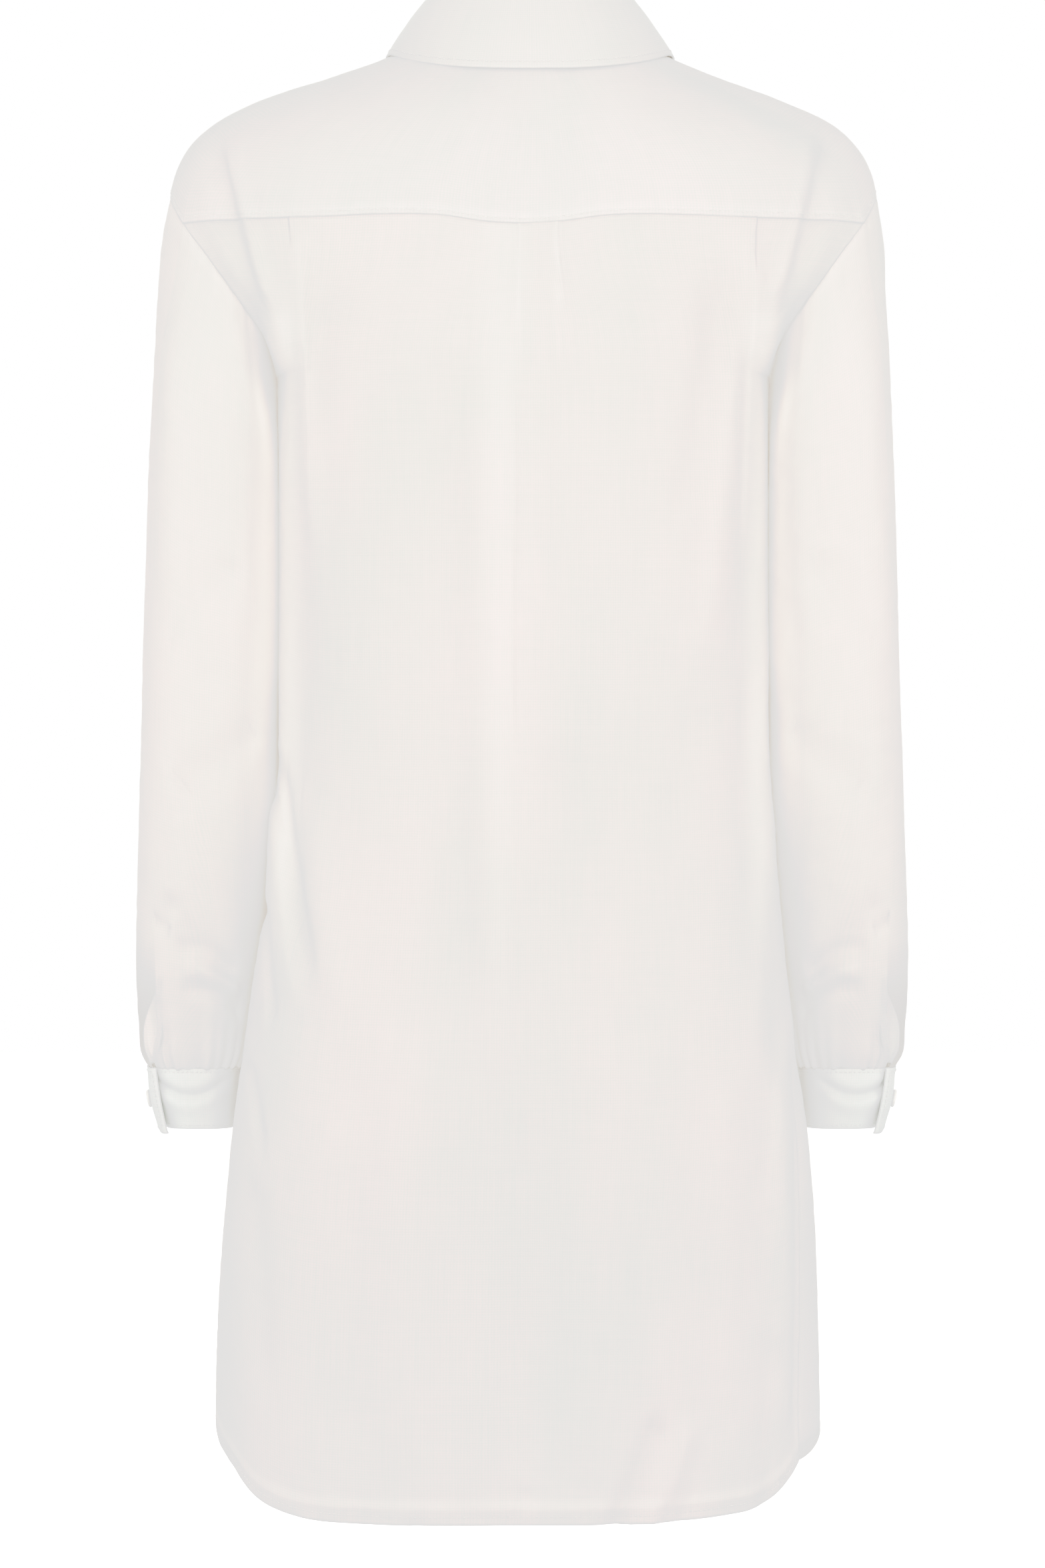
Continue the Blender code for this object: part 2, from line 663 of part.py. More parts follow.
def make_front(side, name):
    place = front_place(side)
    arm = len(UPPER_ROWS)
    place[arm - 1 :] = drawn_in(place[arm - 1 :], ("last",))
    place = drawn_in(place, ("first", "top"), SEAM)
    place[:arm, -1] += front_move(side)
    wall(name, place if side < 0 else place[:, ::-1], CLOTH)


def front_at(x, upper, lower):
    """Points of the fronts' cloth at a distance x to the right of the centre front."""
    side = 1 if x >= 0 else -1
    across = np.linspace(0, 0.25, 12)
    place = folded(front_surface(side, across, upper, lower), True)
    found = []
    for row in place:
        found.append([np.interp(abs(x), np.abs(row[:, 0]), row[:, k]) for k in range(3)])
    return np.array(found)


def band_place():
    xs = np.linspace(BAND_HALF, -BAND_HALF, 4)
    place = np.stack([front_at(x, UPPER_ROWS, LOWER_ROWS) for x in xs], axis=1)
    place[..., 0] = xs[None, :]
    return place + facing(place, (0, 1, 0)) * (CLOTH / 2 + 2 * SEAM + STIFF / 2)


def make_band():
    place = drawn_in(band_place(), ("top",), 0.0018)
    wall("front_band", place, STIFF)


def sleeve_turns():
    back = np.linspace(ARMHOLE_YOKE_BACK, ARMHOLE_UNDERARM, len(UPPER_ROWS))
    front = np.linspace(ARMHOLE_UNDERARM, ARMHOLE_YOKE_FRONT, len(UPPER_ROWS))
    top = 1 + shoulder_turns()[::-1]
    return np.concatenate([back, front[1:], top[1:]])


def tube(sections, key, side, turn, at):
    """A point on a sleeve or cuff tube."""
    name = "left" if side < 0 else "right"
    outer = follow(sections[key], sections["outer_" + name], at)
    inner = follow(sections[key], sections["inner_" + name], at)
    middle = follow(sections[key], sections["middle"], at)
    deep = follow(sections[key], sections["deep"], at)
    angle = 2 * math.pi * turn
    x = (outer + inner) / 2 + (outer - inner) / 2 * np.cos(angle)
    y = middle - deep * np.sin(angle)
    return side * x, y


def sleeve_place(side, turn, rows):
    """Rows of a sleeve from the armhole to the cuff."""
    ring = armhole(side, turn)
    s = rows[:, None]
    drop = -ring[:, 2] + (CUFF_TOP + ring[:, 2]) * s
    x, y = tube(SLEEVE, "drop", side, turn, drop)
    top_x, top_y = tube(SLEEVE, "drop", side, turn, -ring[:, 2])
    hold = 1 - eased((drop + ring[:, 2]) / 0.09)
    x = x + (ring[:, 0] - top_x) * hold
    y = y + (ring[:, 1] - top_y) * hold
    height = np.zeros_like(x)
    t = np.linspace(0, 1, 25)
    for turn0, drop0, turn1, drop1, wide, high in zip(*SLEEVE_CREASES.values()):
        path_turn = turn0 + (turn1 - turn0) * t
        path_drop = drop0 + (drop1 - drop0) * t
        away = ((turn[None, :, None] - path_turn) * 0.28) ** 2 + (drop[..., None] - path_drop) ** 2
        fade = eased(np.minimum(t, 1 - t) * 4)[away.argmin(axis=-1)]
        height += high * fade * np.exp(-away.min(axis=-1) / wide**2)
    middle = follow(SLEEVE["drop"], SLEEVE["middle"], drop)
    out = unit(points(x - side * 0.188, y - middle, 0))
    return points(x, y, -drop) + out * height[..., None]


def gathered(place):
    """Small tucks just above the cuff, every second column drawn in."""
    for row, depth in zip(GATHER_ROWS, GATHER_DEPTHS):
        middle = place[row].mean(axis=0)
        for column in range(2, place.shape[1] - 3, 2):
            place[row, column, :2] -= unit(place[row, column, :2] - middle[:2]) * depth
    return place


def slit_open(place, side):
    """Parts the first and last columns below the top of the wrist slit."""
    count = len(place) - 1 - SLIT_ROW
    for k in range(1, count + 1):
        row = SLIT_ROW + k
        half = SLIT_HALF * math.sin(math.pi * min(k / count, 0.86)) ** 0.8
        place[row, 0] += unit(place[row, 1] - place[row, 0]) * half
        place[row, -1] += unit(place[row, -2] - place[row, -1]) * half
        place[row, -1, 0] += side * half * 0.25
    return place


def make_sleeve(side, name):
    turn = sleeve_turns()
    place = sleeve_place(side, turn, SLEEVE_ROWS)
    place = slit_open(gathered(place), side)
    place = drawn_in(place, ("bottom",), SEAM)
    move = np.concatenate([back_move(side), front_move(side)[-2::-1], yoke_move(side)[-2::-1]])
    fading = np.array([1.0, 0.8, 0.5, 0.2])
    place[: len(fading)] -= fading[:, None, None] * move
    wall(f"sleeve_{name}", place if side > 0 else place[:, ::-1], CLOTH, SLIT_ROW + 1)
    return place


def make_binding(side, name, sleeve):
    """A narrow strip over the back edge of the slit, made from the sleeve's own points, moved out."""
    rows = sleeve[SLIT_ROW - 1 : -1]
    way = unit(rows[:, 1] - rows[:, 0])
    lift = CLOTH / 2 + 2 * SEAM + BINDING_THICK / 2
    out = unit(points(way[:, 1], -way[:, 0], 0) * side)
    edge = rows[:, 0] + way * SEAM
    strip = np.stack([edge, edge + way * BINDING_WIDE], axis=1) + out[:, None, :] * lift
    wall(f"slit_binding_{name}", strip if side > 0 else strip[:, ::-1], BINDING_THICK)


def cuff_place(side):
    """Rows of a cuff, from its under end round the wrist to its lapping end."""
    turn = np.concatenate([np.linspace(-0.02, 0.90, 24), np.linspace(0.93, 1.11, 7)])
    down = np.array([0.0, 0.33, 0.67, 1.0])[:, None]
    x, y = tube(CUFF, "down", side, turn, down)
    lap = eased((turn - 0.88) / 0.10) * (STIFF + 2 * SEAM)
    lean = eased((turn - 0.96) / 0.13) * (0.0012 + 0.0066 * down)
    middle = follow(CUFF["down"], CUFF["middle"], down)
    centre = side * (CUFF["outer_left"][0] + CUFF["inner_left"][0]) / 2
    out = unit(points(x - centre, y - middle, 0))
    droop = 0.003 * eased((turn - 1.0) / 0.11) * down
    place = points(x, y, -CUFF_TOP - 0.0006 - CUFF_DEPTH * down - droop)
    return place + out * (lap + lean)[..., None], out


def make_cuff(side, name):
    place, out = cuff_place(side)
    wall(f"cuff_{name}", place if side > 0 else place[:, ::-1], STIFF)
    spot = -5
    centre = (place[1, spot] + place[2, spot]) / 2
    make_button(f"button_cuff_{name}", centre, facing(place, out)[1, spot], 0.0003)


def stand_line(around, share):
    """A line round the stand, from its foot at 0 to its top edge at 1, and the level way out of it."""
    angle = np.radians(around)
    out = points(np.sin(angle), -np.cos(angle), 0)
    rise = STAND_RISE - STAND_SLOPE * (1 - np.cos(angle)) / 2
    foot = round_neck(NECKLINE, around)
    return foot - out * (STAND_LEAN * share) + points(0, 0, STAND_CLEAR + rise * share), out


def stand_place():
    """Rows of the collar stand from the neckline up; its right end laps over its left end."""
    side = np.linspace(YOKE_SIDE, YOKE_FRONT, 7)[1:]
    front = 180 - (180 - YOKE_FRONT) * FRONT_COLUMNS[FRONT_COLUMNS < NECK_SHARE][::-1] / NECK_SHARE
    right = np.concatenate([side, front])
    back = BACK_COLUMNS * YOKE_SIDE
    around = np.concatenate([[-180 - STAND_LAP], -right[::-1], back, right, [180 + STAND_LAP]])
    lap = eased((around - 145) / 22) * (STIFF + 2.4 * SEAM)
    rows = []
    for share in (0.0, 0.5, 1.0):
        line, out = stand_line(around, share)
        rows.append(line + out * lap[:, None])
    return around, np.array(rows), out


def make_stand():
    place = stand_place()[1]
    wall("collar_stand", place[:, ::-1], STIFF)


def make_fall():
    """The fall rolls over the top of the stand and comes down outside it to two points in front."""
    around = stand_place()[0]
    around = around[np.abs(around) <= COLLAR_OPEN]
    start, out = stand_line(around, 1.0)
    rows = [start + out * away + points(0, 0, up) for away, up in zip(FALL_ROLL["away"], FALL_ROLL["up"])]
    edge = round_neck(FALL_EDGE, around)
    for share, belly in zip(FALL_BELLY["share"], FALL_BELLY["out"]):
        rows.append(rows[len(FALL_ROLL["up"]) - 1] * (1 - share) + edge * share + out * belly)
    wall("collar_fall", np.array(rows)[:, ::-1], STIFF)


def make_button(name, centre, way, clear=0.0):
    """A turned button with a raised rim, standing just off the cloth it is sewn to."""
    lift = STIFF / 2 + SEAM + clear
    profile = [
        (0.0, BUTTON_THICK * 0.6),
        (BUTTON_RADIUS * 0.62, BUTTON_THICK * 0.6),
        (BUTTON_RADIUS * 0.78, BUTTON_THICK),
        (BUTTON_RADIUS * 0.94, BUTTON_THICK * 0.9),
        (BUTTON_RADIUS, BUTTON_THICK * 0.55),
        (BUTTON_RADIUS * 0.86, 0.0),
        (0.0, 0.0),
    ]
    steps = 14
    way = np.array(way, dtype=float)
    first = unit(np.cross(way, (0.0, 0.0, 1.0)))
    second = np.cross(way, first)
    mesh = bmesh.new()
    rings = []
    for radius, height in profile:
        base = np.array(centre) + way * (lift + height)
        if radius == 0.0:
            rings.append([mesh.verts.new(base)])
            continue
        ring = []
        for k in range(steps):
            angle = 2 * math.pi * k / steps
            ring.append(mesh.verts.new(base + radius * (math.cos(angle) * first + math.sin(angle) * second)))
        rings.append(ring)
    for upper, lower in zip(rings, rings[1:]):
        for k in range(steps):
            corners = [upper[k % len(upper)], upper[(k + 1) % len(upper)]]
            corners += [lower[(k + 1) % len(lower)], lower[k % len(lower)]]
            mesh.faces.new(list(dict.fromkeys(corners)))
    bmesh.ops.recalc_face_normals(mesh, faces=mesh.faces)
    data = bpy.data.meshes.new(name)
    mesh.to_mesh(data)
    mesh.free()
    piece = bpy.data.objects.new(name, data)
    bpy.context.collection.objects.link(piece)
    data.materials.append(finish(name, PEARL, 0.3))


def make_front_buttons():
    place = band_place()
    middle = slice(1, 3)
    way = facing(place, (0, 1, 0))[:, middle].mean(axis=1)
    place = place[:, middle].mean(axis=1)
    for k in range(BUTTON_COUNT):
        drop = FIRST_BUTTON_DROP + BUTTON_STEP * k
        centre = [0.0, np.interp(drop, -place[:, 2], place[:, 1]), -drop]
        straight = [np.interp(drop, -place[:, 2], way[:, i]) for i in range(3)]
        make_button(f"button_front_{k + 1}", centre, unit(np.array(straight)), 0.0003)


def make_collar_button():
    around, stand, out = stand_place()
    spot = np.argmin(np.abs(around - 180))
    centre = stand[1, spot]
    make_button("button_collar", centre, facing(stand, out)[1, spot], 0.0007)


for thing in list(bpy.data.objects):
    bpy.data.objects.remove(thing, do_unlink=True)

make_back()
make_yoke()
make_front(-1, "front_left")
make_front(1, "front_right")
make_band()
make_front_buttons()
make_stand()
make_fall()
make_collar_button()
for side, name in ((-1, "left"), (1, "right")):
    sleeve = make_sleeve(side, name)
    make_binding(side, name, sleeve)
    make_cuff(side, name)
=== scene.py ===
import math

import bmesh
import bpy
import numpy as np
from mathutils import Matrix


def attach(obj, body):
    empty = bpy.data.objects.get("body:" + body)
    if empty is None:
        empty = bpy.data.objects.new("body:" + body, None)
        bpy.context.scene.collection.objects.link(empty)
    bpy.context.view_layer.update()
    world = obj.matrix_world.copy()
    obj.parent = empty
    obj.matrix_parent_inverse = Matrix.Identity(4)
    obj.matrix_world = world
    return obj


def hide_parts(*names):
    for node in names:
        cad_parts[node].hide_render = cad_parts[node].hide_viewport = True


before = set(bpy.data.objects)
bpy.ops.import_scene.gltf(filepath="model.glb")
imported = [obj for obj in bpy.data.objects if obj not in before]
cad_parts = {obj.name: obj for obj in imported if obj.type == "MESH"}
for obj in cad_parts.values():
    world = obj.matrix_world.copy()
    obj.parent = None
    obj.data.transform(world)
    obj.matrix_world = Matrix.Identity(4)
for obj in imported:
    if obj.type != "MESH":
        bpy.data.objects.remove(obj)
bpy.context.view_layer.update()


# The back: one panel of fine ivory plain weave with a deep curved hem, turned up twice and stitched.
# A box pleat and a small tuck at each side take its fullness into the yoke seam. It hangs free below the
# hip, where the sides fold and the hem ripples.


# Columns of a table that are plain shares, turns or degrees
PLAIN = ("across", "around", "turn", "share", "down", "lean")


def table(names, *rows):
    """A table with named columns. All other columns are written in millimetres, and kept in metres."""
    names = names.split()
    scale = [1 if name in PLAIN else 1000 for name in names]
    return dict(zip(names, (np.array(rows, dtype=float) / scale).T))


UNDERARM_DROP = 0.195
SIDE_HEM = {-1: 0.8150, 1: 0.8310}
CLOTH = 0.00045
HEM_DEPTH = 0.0046
HEM_STITCH = 0.00005

# Half widths to the left and right, depths to the back and front, and how far behind the shoulders the body
# is widest, at each drop below the shoulders' level
BODY = table(
    "drop left right back front widest",
    (195, 147.0, 147.2, -116.5, 110, 0),
    (260, 146.2, 146.6, -116.0, 116, -6),
    (340, 145.7, 146.4, -113.0, 112, -10),
    (420, 146.2, 147.0, -113.0, 106, -16),
    (480, 149.5, 150.5, -119.5, 106, -22),
    (560, 160.5, 157.5, -129.0, 112, -32),
    (620, 168.8, 165.5, -135.0, 117, -36),
    (680, 175.8, 171.7, -138.5, 119, -32),
    (740, 180.3, 174.3, -140.5, 119, -26),
    (800, 182.4, 175.7, -141.5, 118, -22),
    (865, 182.4, 175.8, -142.0, 117, -20),
)
# How full the body's section is near its centre line and near its side: about 0.55 is an ellipse
FLAT = 0.69
ROUND = 0.80

BACK_HEM = table(
    "across drop",
    (-1.00, 815.0), (-0.86, 824.5), (-0.73, 834.5), (-0.60, 850.8), (-0.45, 859.6),
    (-0.28, 861.8), (0.00, 861.6), (0.30, 861.2), (0.45, 859.6), (0.60, 857.6),
    (0.72, 855.2), (0.82, 850.0), (0.92, 840.0), (1.00, 831.0),
)

# The right side seam swings to the back below the hip: 1 is the body's widest point, and 0 the centre back
RIGHT_SEAM = table(
    "drop across",
    (195, 1.00), (340, 1.00), (480, 0.96), (600, 0.86), (680, 0.77),
    (760, 0.73), (865, 0.69),
)

YOKE_SEAM = table(
    "x y drop",
    (0, -108.5, 112.0), (22, -108.5, 110.6), (48, -107.8, 107.0), (85, -104.0, 106.0),
    (115, -97.5, 106.6), (140, -89.0, 106.6), (165, -76.0, 106.0), (187, -60.5, 105.6),
    (201, -47.5, 105.6),
)

# One armhole, from its top round the back, the underarm and the front to its top again
ARMHOLE = table(
    "turn x y drop",
    (0.00, 210.5, 0.0, 84.0), (0.06, 208.5, -28.0, 91.5), (0.11, 201.0, -47.5, 105.6),
    (0.19, 187.0, -61.0, 125.0), (0.27, 175.5, -65.0, 141.0), (0.35, 163.1, -62.0, 158.0),
    (0.42, 152.5, -49.0, 174.5), (0.46, 148.3, -27.0, 188.0), (0.50, 147.6, 0.0, 195.0),
    (0.54, 148.7, 27.0, 188.0), (0.60, 156.0, 50.0, 170.0), (0.69, 170.0, 62.0, 148.0),
    (0.79, 185.0, 61.0, 126.0), (0.88, 198.5, 48.0, 106.0), (0.93, 206.0, 30.0, 93.0),
    (1.00, 210.5, 0.0, 84.0),
)
YOKE_BACK_TURN = 0.11
UNDERARM_TURN = 0.50
YOKE_FRONT_TURN = 0.93

# Folds run along a curve from one end past its middle to the other. Ridges are above 0. Where lean is above 0,
# the right side of the fold is the steeper one.
FOLD = "x0 drop0 x1 drop1 x2 drop2 wide high lean"
BACK_FOLDS = table(
    FOLD,
    (-184, 48, -172, 110, -150, 178, 7, -5.2, 0),
    (-176, 44, -163, 108, -147, 164, 6.5, 3, 0.3),
    (182, 44, 170, 108, 150, 176, 7, -4.8, 0),
    (174, 42, 161, 104, 146, 160, 6.5, 2.8, -0.3),
    (-17, 130, -17, 380, -10, 640, 12.5, 4, 0.2),
    (-48, 180, -44, 400, -34, 600, 14, -3.6, 0),
    (22, 400, 40, 500, 58, 600, 20, -3.4, 0),
    (-132, 104, -125, 160, -119, 330, 8, 3.4, 0.3),
    (131, 104, 124, 200, 102, 380, 8.5, 3.6, -0.3),
    (118, 130, 108, 200, 90, 300, 10, -3, 0),
    (-146, 412, -136, 486, -121, 556, 3.6, -5, -0.4),
    (-152, 430, -143, 500, -130, 575, 7, 3.6, 0.3),
    (-126, 430, -119, 500, -105, 580, 10, 2.8, 0),
    (-153.5, 500, -150, 540, -146, 582, 3, -3.6, -0.3),
    (-162, 596, -156, 620, -151, 652, 3.4, -3.2, 0),
    (-158, 660, -152, 720, -150, 800, 8, -2.6, 0),
    (82, 795, 67, 836, 46, 884, 5.5, -4.4, 0.3),
    (98, 800, 84, 840, 66, 884, 6.5, 3.4, 0),
    (100, 838, 91, 858, 82, 884, 4.5, -1.4, 0),
    (147, 750, 143, 810, 140, 880, 8, -2.6, 0),
    (148, 590, 152, 720, 148, 830, 7.5, 4, 0),
    (160.5, 570, 161.5, 700, 159, 836, 3.6, -4, 0),
    (-60, 560, -68, 680, -72, 850, 18, 3, 0),
    (-98, 580, -104, 700, -106, 850, 15, -2.6, 0),
    (66, 560, 76, 680, 80, 820, 18, 3, 0),
    (6, 620, 8, 740, 4, 860, 18, -2.6, 0),
)
FRONT_FOLDS = table(
    FOLD,
    (-184, 50, -176, 110, -152, 178, 8, -5, 0),
    (182, 48, 174, 108, 152, 178, 8, -5, 0),
    (-120, 150, -98, 230, -88, 360, 10, 2.8, 0.2),
    (124, 160, 104, 260, 94, 400, 10, 2.8, -0.2),
    (-128, 430, -112, 520, -100, 640, 10, -3, 0.3),
    (132, 440, 118, 520, 112, 620, 10, -3, -0.3),
    (-60, 520, -72, 660, -80, 815, 16, 2.6, 0),
    (58, 480, 76, 640, 88, 820, 16, 2.6, 0),
)
# Small creases on the back alone, finer than the ones above
BACK_CREASES = table(
    FOLD,
    (-3, 170, -7.5, 300, -6, 440, 4, 1, 0.6),
    (21, 130, 22, 200, 18, 330, 5, 1, -0.6),
    (-129, 120, -126, 200, -124, 300, 3.5, 1.2, 0.5),
    (137, 112, 133, 190, 128, 310, 3.5, 1.3, -0.5),
    (-151, 425, -147, 450, -137, 480, 3, -1.4, 0),
    (-140, 470, -134, 500, -126, 535, 3.2, -1.6, 0.4),
    (-156, 620, -154, 640, -150, 660, 3, -1.2, 0),
    (146, 440, 140, 520, 134, 600, 6, 1.4, 0),
    (152, 560, 143, 620, 139, 690, 6, -1.6, 0.4),
    (-100, 610, -108, 700, -112, 800, 9, 1.4, 0),
    (30, 640, 34, 740, 30, 845, 8, 1.4, 0),
    (112, 600, 118, 700, 117, 810, 8, 1.4, 0),
    (-20, 700, -26, 780, -30, 858, 8, 1.2, 0),
    (-55, 812, -60, 838, -66, 866, 5, 1.2, 0),
    (84, 846, 82, 856, 79, 866, 3, -1.2, 0),
    (0, 838, -2, 852, -6, 866, 5, -1, 0),
)


def follow(known, values, at):
    """Reads a smooth curve through the points (known, values)."""
    slope = np.gradient(values, known)
    at = np.clip(at, known[0], known[-1])
    i = np.clip(np.searchsorted(known, at, side="right") - 1, 0, len(known) - 2)
    span = known[i + 1] - known[i]
    t = (at - known[i]) / span
    start = (2 * t**3 - 3 * t**2 + 1) * values[i] + (t**3 - 2 * t**2 + t) * span * slope[i]
    end = (3 * t**2 - 2 * t**3) * values[i + 1] + (t**3 - t**2) * span * slope[i + 1]
    return start + end


def points(x, y, z):
    return np.stack(np.broadcast_arrays(x, y, z), axis=-1).astype(float)


def unit(vectors):
    return vectors / np.maximum(np.linalg.norm(vectors, axis=-1, keepdims=True), 1e-12)


def eased(amount):
    amount = np.clip(amount, 0, 1)
    return amount * amount * (3 - 2 * amount)


def bell(away, wide):
    return np.exp(-((away / wide) ** 2))


def run_along(line):
    """How far each point of a line, or of each of many lines side by side, is from its first one."""
    steps = np.linalg.norm(np.diff(line, axis=0), axis=-1)
    return np.concatenate([np.zeros_like(steps[:1]), steps.cumsum(axis=0)])


def bezier(first, second, third, fourth, t):
    return (1 - t) ** 3 * first + 3 * (1 - t) ** 2 * t * second + 3 * (1 - t) * t**2 * third + t**3 * fourth


def armhole(side, turn):
    """A point of the armhole seam; turn may run past 1."""
    turns, *columns = ARMHOLE.values()
    known = np.concatenate([turns[-3:-1] - 1, turns, turns[1:3] + 1])
    x, y, drop = (follow(known, np.concatenate([values[-3:-1], values, values[1:3]]), turn) for values in columns)
    return points(side * x, y, -drop)


def girth(across, drop, rear):
    """A point of the body's section: across is 0 at the centre line and 1 at the side, with the side's sign."""
    a = np.abs(across)
    names = ("left", "right", "back" if rear else "front", "widest")
    left, right, deep, widest = (follow(BODY["drop"], BODY[name], drop) for name in names)
    wide = np.where(across < 0, left, right)
    x = np.sign(across) * wide * (3 * (1 - a) ** 2 * a * FLAT + 3 * (1 - a) * a**2 + a**3)
    y = widest + (deep - widest) * ((1 - a) ** 3 + 3 * (1 - a) ** 2 * a + 3 * (1 - a) * a**2 * ROUND)
    return points(x, y, -drop)


def hung(top, top_way, across, rear, edge, level):
    """Columns from a top edge to underarm level, bent at the outer edge to follow the armhole."""
    foot = girth(across, UNDERARM_DROP, rear)
    foot_way = unit(girth(across, UNDERARM_DROP + 0.004, rear) - foot)
    reach = 0.38 * np.linalg.norm(foot - top, axis=-1, keepdims=True)
    column = bezier(top, top + reach * top_way, foot - reach * foot_way, foot, level[:, None, None])
    for side, line in edge.items():
        miss = line - column[:, 0 if side < 0 else -1]
        share = eased((side * across if rear else np.abs(across)) * 2 - 1)
        column = column + miss[:, None, :] * share[None, :, None]
    return column


def yoke_seam(across):
    a = np.abs(across) * YOKE_SEAM["x"][-1]
    y = follow(YOKE_SEAM["x"], YOKE_SEAM["y"], a)
    drop = follow(YOKE_SEAM["x"], YOKE_SEAM["drop"], a)
    return points(np.sign(across) * a, y, -drop)


def yoke_fall(across):
    """The cloth's direction downwards at the yoke seam."""
    return unit(points(0.06 * across**3, -0.12 * (1 - across**2), -np.ones_like(across)))


def seam_across(side, drop):
    if side < 0:
        return np.ones_like(drop)
    return follow(RIGHT_SEAM["drop"], RIGHT_SEAM["across"], drop)


def back_surface(across, upper, lower):
    """Rows of the back from the yoke seam to the hem; upper and lower run from 0 to 1."""
    turns = YOKE_BACK_TURN + (UNDERARM_TURN - YOKE_BACK_TURN) * upper
    edge = {side: armhole(side, turns) for side in (-1, 1)}
    top = hung(yoke_seam(across), yoke_fall(across), across, True, edge, upper)
    hem = follow(BACK_HEM["across"], BACK_HEM["drop"], across)
    s = lower[:, None]
    drop = UNDERARM_DROP + (hem - UNDERARM_DROP) * s
    right_limit = seam_across(1, UNDERARM_DROP + (SIDE_HEM[1] - UNDERARM_DROP) * s)
    limit = np.where(across < 0, 1.0, right_limit)
    return np.concatenate([top, girth(across * limit, drop, True)])


def fold_height(x, drop, folds):
    """The height of all folds at a place on the cloth."""
    height = np.zeros(np.broadcast(x, drop).shape)
    for x0, drop0, x1, drop1, x2, drop2, wide, high, lean in zip(*folds.values()):
        t = np.linspace(0, 1, 2 + int(math.hypot(x2 - x0, drop2 - drop0) / (0.4 * wide)))
        path_x = (1 - t) ** 2 * x0 + 2 * (1 - t) * t * x1 + t**2 * x2
        path_drop = (1 - t) ** 2 * drop0 + 2 * (1 - t) * t * drop1 + t**2 * drop2
        near = (drop > path_drop.min() - 3 * wide) & (drop < path_drop.max() + 3 * wide)
        near &= (x > path_x.min() - 4 * wide) & (x < path_x.max() + 4 * wide)
        if not near.any():
            continue
        off_x = x[near][:, None] - path_x
        away = off_x**2 + (drop[near][:, None] - path_drop) ** 2
        nearest = away.argmin(axis=-1)
        here = np.arange(len(nearest))
        side = np.tanh(off_x[here, nearest] / (0.4 * wide))
        reach = wide * (1 - lean * side)
        fade = eased(np.minimum(t, 1 - t) * 5)[nearest]
        height[near] += high * fade * np.exp(-away[here, nearest] / reach**2)
    return height


# Half the body's width and depth, roughly
HALF_WIDE = 0.15
HALF_DEEP = 0.11


def outward(place):
    """The level direction out of the body."""
    return unit(points(place[..., 0] / HALF_WIDE**2, place[..., 1] / HALF_DEEP**2, 0))


def folded(place, both_faces=False):
    """Body cloth with its large folds: the back's behind the shoulder line, and the fronts' before it."""
    x, drop = place[..., 0], -place[..., 2]
    height = fold_height(x, drop, BACK_FOLDS)
    if both_faces:
        share = eased(place[..., 1] / 0.04 + 0.5)
        height = height * (1 - share) + fold_height(x, drop, FRONT_FOLDS) * share
    return place + outward(place) * height[..., None]


def facing(place):
    """The outward direction of cloth whose rows run down and whose columns run to the right, seen from outside."""
    return unit(np.cross(np.gradient(place, axis=0), np.gradient(place, axis=1)))


def settled(place, deep=0.00035):
    """Cloth that has been worn a little: long shallow waves and small crumples, never the same twice."""
    x, y, z = place[..., 0], place[..., 1], place[..., 2]
    round_body = x + 0.7 * y
    long_waves = np.sin(57 * round_body + 3.1 * np.sin(9 * z + 0.6)) * np.sin(11 * z + 17 * x + 1.3)
    long_waves += 0.7 * np.sin(131 * round_body + 4.2 * np.sin(13 * z + 1.9)) * np.sin(19 * z - 23 * x)
    crumples = np.sin(290 * x + 5.0 * np.sin(61 * z)) * np.sin(170 * z + 4.0 * np.sin(83 * x + 40 * y))
    crumples += np.sin(210 * (x - y) + 140 * z + 3.0 * np.sin(97 * z - 51 * x))
    return place + facing(place) * (deep * (long_waves + 0.28 * crumples))[..., None]


# Distances of the closest lines of points beside a sewn edge
BESIDE_SEAM = np.array([0.0, 0.0007, 0.0014, 0.0021, 0.0030, 0.0042])


def shares(length, count, first=True, last=True):
    """Shares from 0 to 1 of a length, with close steps beside its sewn ends."""
    near = BESIDE_SEAM / length
    start = near[:-1] if first else []
    end = 1 - near[-2::-1] if last else []
    middle = np.linspace(near[-1] if first else 0, 1 - near[-1] if last else 1, count)
    return np.concatenate([start, middle, end])


def from_edge(panel_values, edge):
    """A panel's rows or columns, counted inwards from its top, bottom, first or last edge."""
    lines = panel_values if edge in ("top", "bottom") else panel_values.swapaxes(0, 1)
    return lines[::-1] if edge in ("bottom", "last") else lines


def sewn(place, edges, roll=0.00035, pucker=0.00022):
    """Sinks a panel's sewn edges and puckers the cloth beside them."""
    height = np.zeros(place.shape[:2])
    for edge in edges:
        lines = from_edge(place, edge)
        away = run_along(lines)
        run = run_along(lines[0])
        wave = np.sin(run / 0.0019 + 2.3 * np.sin(run / 0.013)) * (0.55 + 0.45 * np.sin(run / 0.037 + 1))
        lift = pucker * wave * bell(away, 0.010) * eased(away / 0.0025)
        lifted = from_edge(height, edge)
        lifted += lift - roll * (1 - eased(away / 0.0017))
    return place + facing(place) * height[..., None]


def hemmed(place, depth=HEM_DEPTH):
    """Turns the last rows up inside the panel."""
    rows = int(np.searchsorted(run_along(place[::-1]).mean(axis=1), depth))
    inward = -facing(place)[-rows - 1 :][::-1]
    turned = place[-rows - 1 :][::-1] + inward * 0.0010
    fold = place[-1:] + inward[:1] * 0.0005 + (place[-1:] - place[-2:-1]) * 0.25
    return np.concatenate([place, fold, turned])


